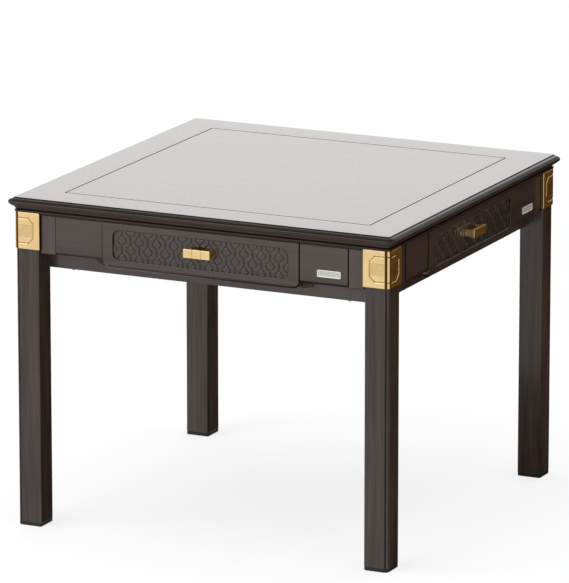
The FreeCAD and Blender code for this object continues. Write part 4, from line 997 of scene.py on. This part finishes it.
points, faces = pull_parts()
for quarters, side in enumerate(SIDES):
    pull = new_mesh("brass_pull_" + side, turned(points, quarters), faces, brass)
    # The two scores across the bar carry a painted shade.
    mark(pull, [float(abs(abs(x) - SCORE_AT) < SCORE_WIDE / 2) for x, y, z in points])
    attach(pull, "drawer_" + side)
    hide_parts("drawer_pull_" + side)

# ---- side plates ----
# Small bare plates of brushed champagne metal with a raised frame, pinned to the right-hand panel
# of each side.

PLATE_LOW, PLATE_HIGH, PLATE_FACE = (285, 653), (342, 669), 456.5
PLATE_CORNER, PLATE_SHARP, PLATE_SHADE = 2.5, 0.4, 0.4
PLATE_STEPS = ((0, 1.5), (0, 0.3), (0.3, 0), (1.6, 0), (2, 0.6), (2.8, 0.7))


def plate_rings():
    """Rings from the plate's back over its frame into its sunk middle."""
    return [
        inset_ring(PLATE_LOW, PLATE_HIGH, inset, max(PLATE_CORNER, inset + PLATE_SHARP), depth - PLATE_FACE)
        for inset, depth in PLATE_STEPS
    ]


plate_metal = brass_metal("plate_metal", (0.77, 0.78, 0.71), (0.69, 0.7, 0.62), 0.3, metal=0.35)
points, faces = together(*four_turned(*loft(plate_rings())))
plate = new_mesh("bare_plates", points, faces, plate_metal)
# Points behind the face carry a painted shade, which darkens the sunk middle.
mark(plate, [PLATE_SHADE * (max(abs(x), abs(y)) < PLATE_FACE) for x, y, z in points])
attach(plate, "root")
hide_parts("side_plates")

# ---- playing deck and its cloth ----
# A plain board under the cover with a round well and four slots, covered by a green napped cloth
# that is stretched over it and glued down.

DECK_HALF, DECK_NOTCH, WELL_RADIUS, WELL_STEPS, CLOTH_LOW, CLOTH_TOP = 412, 399.5, 131, 72, 726, 727.5
SLOT_LOW, SLOT_HIGH = (-223, -276), (267, -230)


def cloth_loops():
    """The cloth's outer edge, then the edges of its holes."""
    notch = [(DECK_NOTCH, -DECK_HALF, 0), (DECK_NOTCH, -DECK_NOTCH, 0), (DECK_HALF, -DECK_NOTCH, 0)]
    outer = sum((turned(notch, quarters) for quarters in range(4)), [])
    well = [(x, y, 0) for x, y in arc(0, 0, WELL_RADIUS, 0, 360, WELL_STEPS)[:-1]]
    (left, near), (right, far) = SLOT_LOW, SLOT_HIGH
    slot = [(left, near, 0), (right, near, 0), (right, far, 0), (left, far, 0)]
    return [outer, well] + [turned(slot, quarters) for quarters in range(4)]


def loop_area(loop):
    """Area inside a loop, in square millimetres."""
    return abs(sum(a[0] * b[1] - b[0] * a[1] for a, b in zip(loop, loop[1:] + loop[:1]))) / 2


def cloth_mesh(name, loops, low, high, material):
    """A sheet with holes, filled in and given its thickness."""
    work = bmesh.new()
    for loop in loops:
        ring = [work.verts.new((x / 1000, y / 1000, low / 1000)) for x, y, z in loop]
        for ends in zip(ring, ring[1:] + ring[:1]):
            work.edges.new(ends)
    bmesh.ops.triangle_fill(work, edges=work.edges[:], use_beauty=True, normal=(0, 0, 1))
    grown = bmesh.ops.extrude_face_region(work, geom=work.faces[:])
    upper = [item for item in grown["geom"] if isinstance(item, bmesh.types.BMVert)]
    bmesh.ops.translate(work, verts=upper, vec=(0, 0, (high - low) / 1000))
    bmesh.ops.recalc_face_normals(work, faces=work.faces[:])
    mesh = bpy.data.meshes.new(name)
    work.to_mesh(mesh)
    work.free()
    mesh.materials.append(material)
    return stood(name, mesh)


def napped_cloth():
    """Short-napped playing cloth: tiny fibres over a faint weave, with a soft sheen."""
    material, tree, shade = shader("napped_cloth")
    coords = place(tree)
    fibre = noise(tree, coords, 1400.0, 4.0, 0.7)
    brushed = noise(tree, coords, 18.0, 4.0)
    tone = two_tone(tree, brushed, (0.008, 0.085, 0.055), (0.013, 0.12, 0.08), 0.3, 0.7)
    colour = laid_over(tree, spread(tree, fibre, 0.0, 0.5), tone, (0.004, 0.05, 0.03))
    fill(tree, shade, {"Base Color": colour, "Normal": bump(tree, fibre, 0.4, 0.0004)})
    fill(tree, shade, {"Roughness": 0.95, "Sheen Weight": 0.5, "Sheen Roughness": 0.6})
    return material


loops = cloth_loops()
cloth = cloth_mesh("playing_cloth", loops, CLOTH_LOW, CLOTH_TOP, napped_cloth())
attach(cloth, "root")
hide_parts("deck_cloth")
cloth_area = (loop_area(loops[0]) - sum(loop_area(loop) for loop in loops[1:])) / 1e6
finish(inner_wood, "deck_board")

# ---- tile lifts ----
# Black moulded bars that fill the slots level with the cloth, on square posts in acetal guides;
# the gear motors between the guides are turned and zinc plated.


def moulded(name, dark, light, rough=0.45, grain=900.0, clear=0.0):
    """Moulded plastic with a fine spark-eroded grain."""
    skin = {"broad": (30.0, 4.0), "span": (0.35, 0.7), "fine": (grain, 3.0), "relief": (0.12, 0.0002)}
    skin |= {"gloss": (rough - 0.08, rough + 0.12), "Transmission Weight": clear}
    return clouded(name, (dark, light), **skin)


def plain_metal(name, dark, light, rough=0.32, stretch=(1, 1, 10)):
    """Bare or plated metal with turning or rolling marks."""
    skin = {"broad": (40.0, 4.0), "span": (0.35, 0.7), "fine": (330.0, 3.0), "relief": (0.12, 0.0002)}
    skin |= {"gloss": (rough - 0.08, rough + 0.14), "Metallic": 1.0}
    return clouded(name, (dark, light), **skin, stretch=stretch)


black_plastic = moulded("black_plastic", (0.018, 0.017, 0.017), (0.032, 0.03, 0.03))
motor_steel = plain_metal("motor_steel", (0.38, 0.39, 0.41), (0.52, 0.53, 0.55))
finish(black_plastic, *("tile_lift_" + side for side in SIDES))
finish(moulded("acetal", (0.6, 0.6, 0.57), (0.7, 0.7, 0.67), rough=0.4), "lift_guides")
finish(motor_steel, "lift_motors")

# ---- console, keys and dome ----
# A round console of textured black plastic that rises on its mast, with four pale keys and a dice
# well under a clear dome.

key_plastic = moulded("key_plastic", (0.66, 0.6, 0.48), (0.78, 0.72, 0.6), rough=0.28)
dome_skin = {"rough": 0.1, "grain": 300.0, "clear": 0.96}
clear_plastic = moulded("clear_plastic", (0.93, 0.95, 0.96), (0.98, 0.99, 1.0), **dome_skin)
finish(black_plastic, "console")
finish(clear_plastic, "dice_dome")
finish(motor_steel, "console_mast")
finish(key_plastic, *("console_key_" + side for side in SIDES))

# ---- dice ----
# Two dice of ivory plastic with rounded edges and inked black pips. They lie loose on the floor of
# the well, under the dome.

DIE_HALF, DIE_AT, DIE_FLOOR, DIE_ROUND, DIE_CUTS = 5.95, 10, 716.5, 1.5, 12
PIP_OUT, PIP_SIZE, PIP_PROUD, PIP_POINTS = 2.9, 0.95, 0.04, 14


def pip_spots(number):
    """Where a number's pips lie, in steps of their pitch."""
    spots = [(0, 0)] if number % 2 else []
    for least, u, v in ((2, 1, 1), (4, 1, -1), (6, 1, 0)):
        if number >= least:
            spots += [(u, v), (-u, -v)]
    return spots


def on_side(side, u, v, out):
    """A point seen from one of the six sides of a cube: across, up and out from its middle."""
    axis, sign = side % 3, 1 if side < 3 else -1
    spot = [0.0, 0.0, 0.0]
    spot[axis], spot[(axis + 1) % 3], spot[(axis + 2) % 3] = sign * out, sign * u, v
    return spot


def die_body():
    """A cube with rounded edges, its points shared between its sides."""
    places, faces = {}, []
    core = DIE_HALF - DIE_ROUND
    for side in range(6):
        rows = []
        for j in range(DIE_CUTS + 1):
            for i in range(DIE_CUTS + 1):
                u, v = (DIE_HALF * (2 * k / DIE_CUTS - 1) for k in (i, j))
                spot = on_side(side, u, v, DIE_HALF)
                inner = [min(core, max(-core, value)) for value in spot]
                reach = math.dist(spot, inner)
                spot = tuple(round(b + (a - b) * DIE_ROUND / reach, 5) for a, b in zip(spot, inner))
                rows.append(places.setdefault(spot, len(places)))
        faces += [tuple(rows[i] for i in face) for face in grid_faces(DIE_CUTS, DIE_CUTS)]
    return list(places), faces


def die_pips(sides):
    """Round spots on the six sides; opposite sides add up to seven."""
    points, faces = [], []
    for side, number in enumerate(sides):
        for u, v in pip_spots(number):
            ring = [
                on_side(side, PIP_OUT * u + x, PIP_OUT * v + y, DIE_HALF + PIP_PROUD)
                for x, y in arc(0, 0, PIP_SIZE, 0, 360 - 360 / PIP_POINTS, PIP_POINTS - 1)
            ]
            faces.append(tuple(range(len(points), len(points) + PIP_POINTS)))
            points += ring
    return points, faces


bodies, pips = [], []
for x, sides in ((-DIE_AT, (3, 1, 5, 4, 6, 2)), (DIE_AT, (1, 5, 4, 6, 2, 3))):
    for (points, faces), kept in ((die_body(), bodies), (die_pips(sides), pips)):
        kept.append(([(px + x, py, pz + DIE_FLOOR + DIE_HALF) for px, py, pz in points], faces))
ivory = moulded("ivory", (0.82, 0.79, 0.7), (0.9, 0.87, 0.8), rough=0.2)
dice = new_mesh("dice_pair", *together(*bodies, *pips), ivory)
dice.data.materials.append(moulded("pip_ink", (0.01, 0.01, 0.01), (0.02, 0.02, 0.02), rough=0.35))
for face in dice.data.polygons:
    face.material_index = int(len(face.vertices) == PIP_POINTS)
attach(dice, "console")
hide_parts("dice")

# ---- shuffling drum and its drive ----
# The bowl that the tiles are mixed in, moulded in dark grey, and the rubber-tyred wheel and motor
# that turn it.

drum_plastic = moulded("drum_plastic", (0.12, 0.125, 0.135), (0.17, 0.18, 0.19), rough=0.4)
finish(drum_plastic, "shuffling_drum")
finish(rubber("wheel_rubber", 0.025), "drive_wheel")
finish(motor_steel, "drive_motor")

# ---- base pan and screws ----
# A folded steel pan with a black powder coat and rows of punched vents. It closes the machine from
# below and is screwed up into the lower rails.

COAT_TONES = ((0.02, 0.02, 0.022), (0.035, 0.035, 0.037))
peel = {"broad": (12.0, 5.0), "span": (0.4, 0.75), "fine": (520.0, 3.0, 0.5), "relief": (0.35, 0.0004)}
finish(clouded("powder_coat", COAT_TONES, **peel, gloss=(0.42, 0.6)), "base_pan")
finish(plain_metal("zinc_plate", (0.5, 0.5, 0.5), (0.66, 0.66, 0.64), rough=0.3), "pan_screws")

# ---- electrics ----
# The control board, a folded power supply and the mains inlet with its red rocker, at the back
# corner of the pan.

circuit = moulded("solder_mask", (0.01, 0.09, 0.04), (0.02, 0.14, 0.06), rough=0.3)
zinc_sheet = plain_metal("zinc_sheet", (0.5, 0.5, 0.52), (0.66, 0.66, 0.68), 0.35, stretch=(1, 1, 1))
inlet_black = moulded("inlet_black", (0.015, 0.015, 0.015), (0.028, 0.028, 0.028), rough=0.5)
rocker_red = moulded("rocker_red", (0.3, 0.012, 0.01), (0.4, 0.02, 0.015), rough=0.22)
finish(circuit, "control_board")
finish(zinc_sheet, "power_supply")
finish(inlet_black, "mains_inlet")
finish(rocker_red, "power_rocker")

# ---- size of the finished piece ----
# The outer sizes of the solids and of the dressed piece, kept side by side.

sizes = [[list(map(float, corner)) for corner in bounds] for bounds in (cad_bounds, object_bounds())]
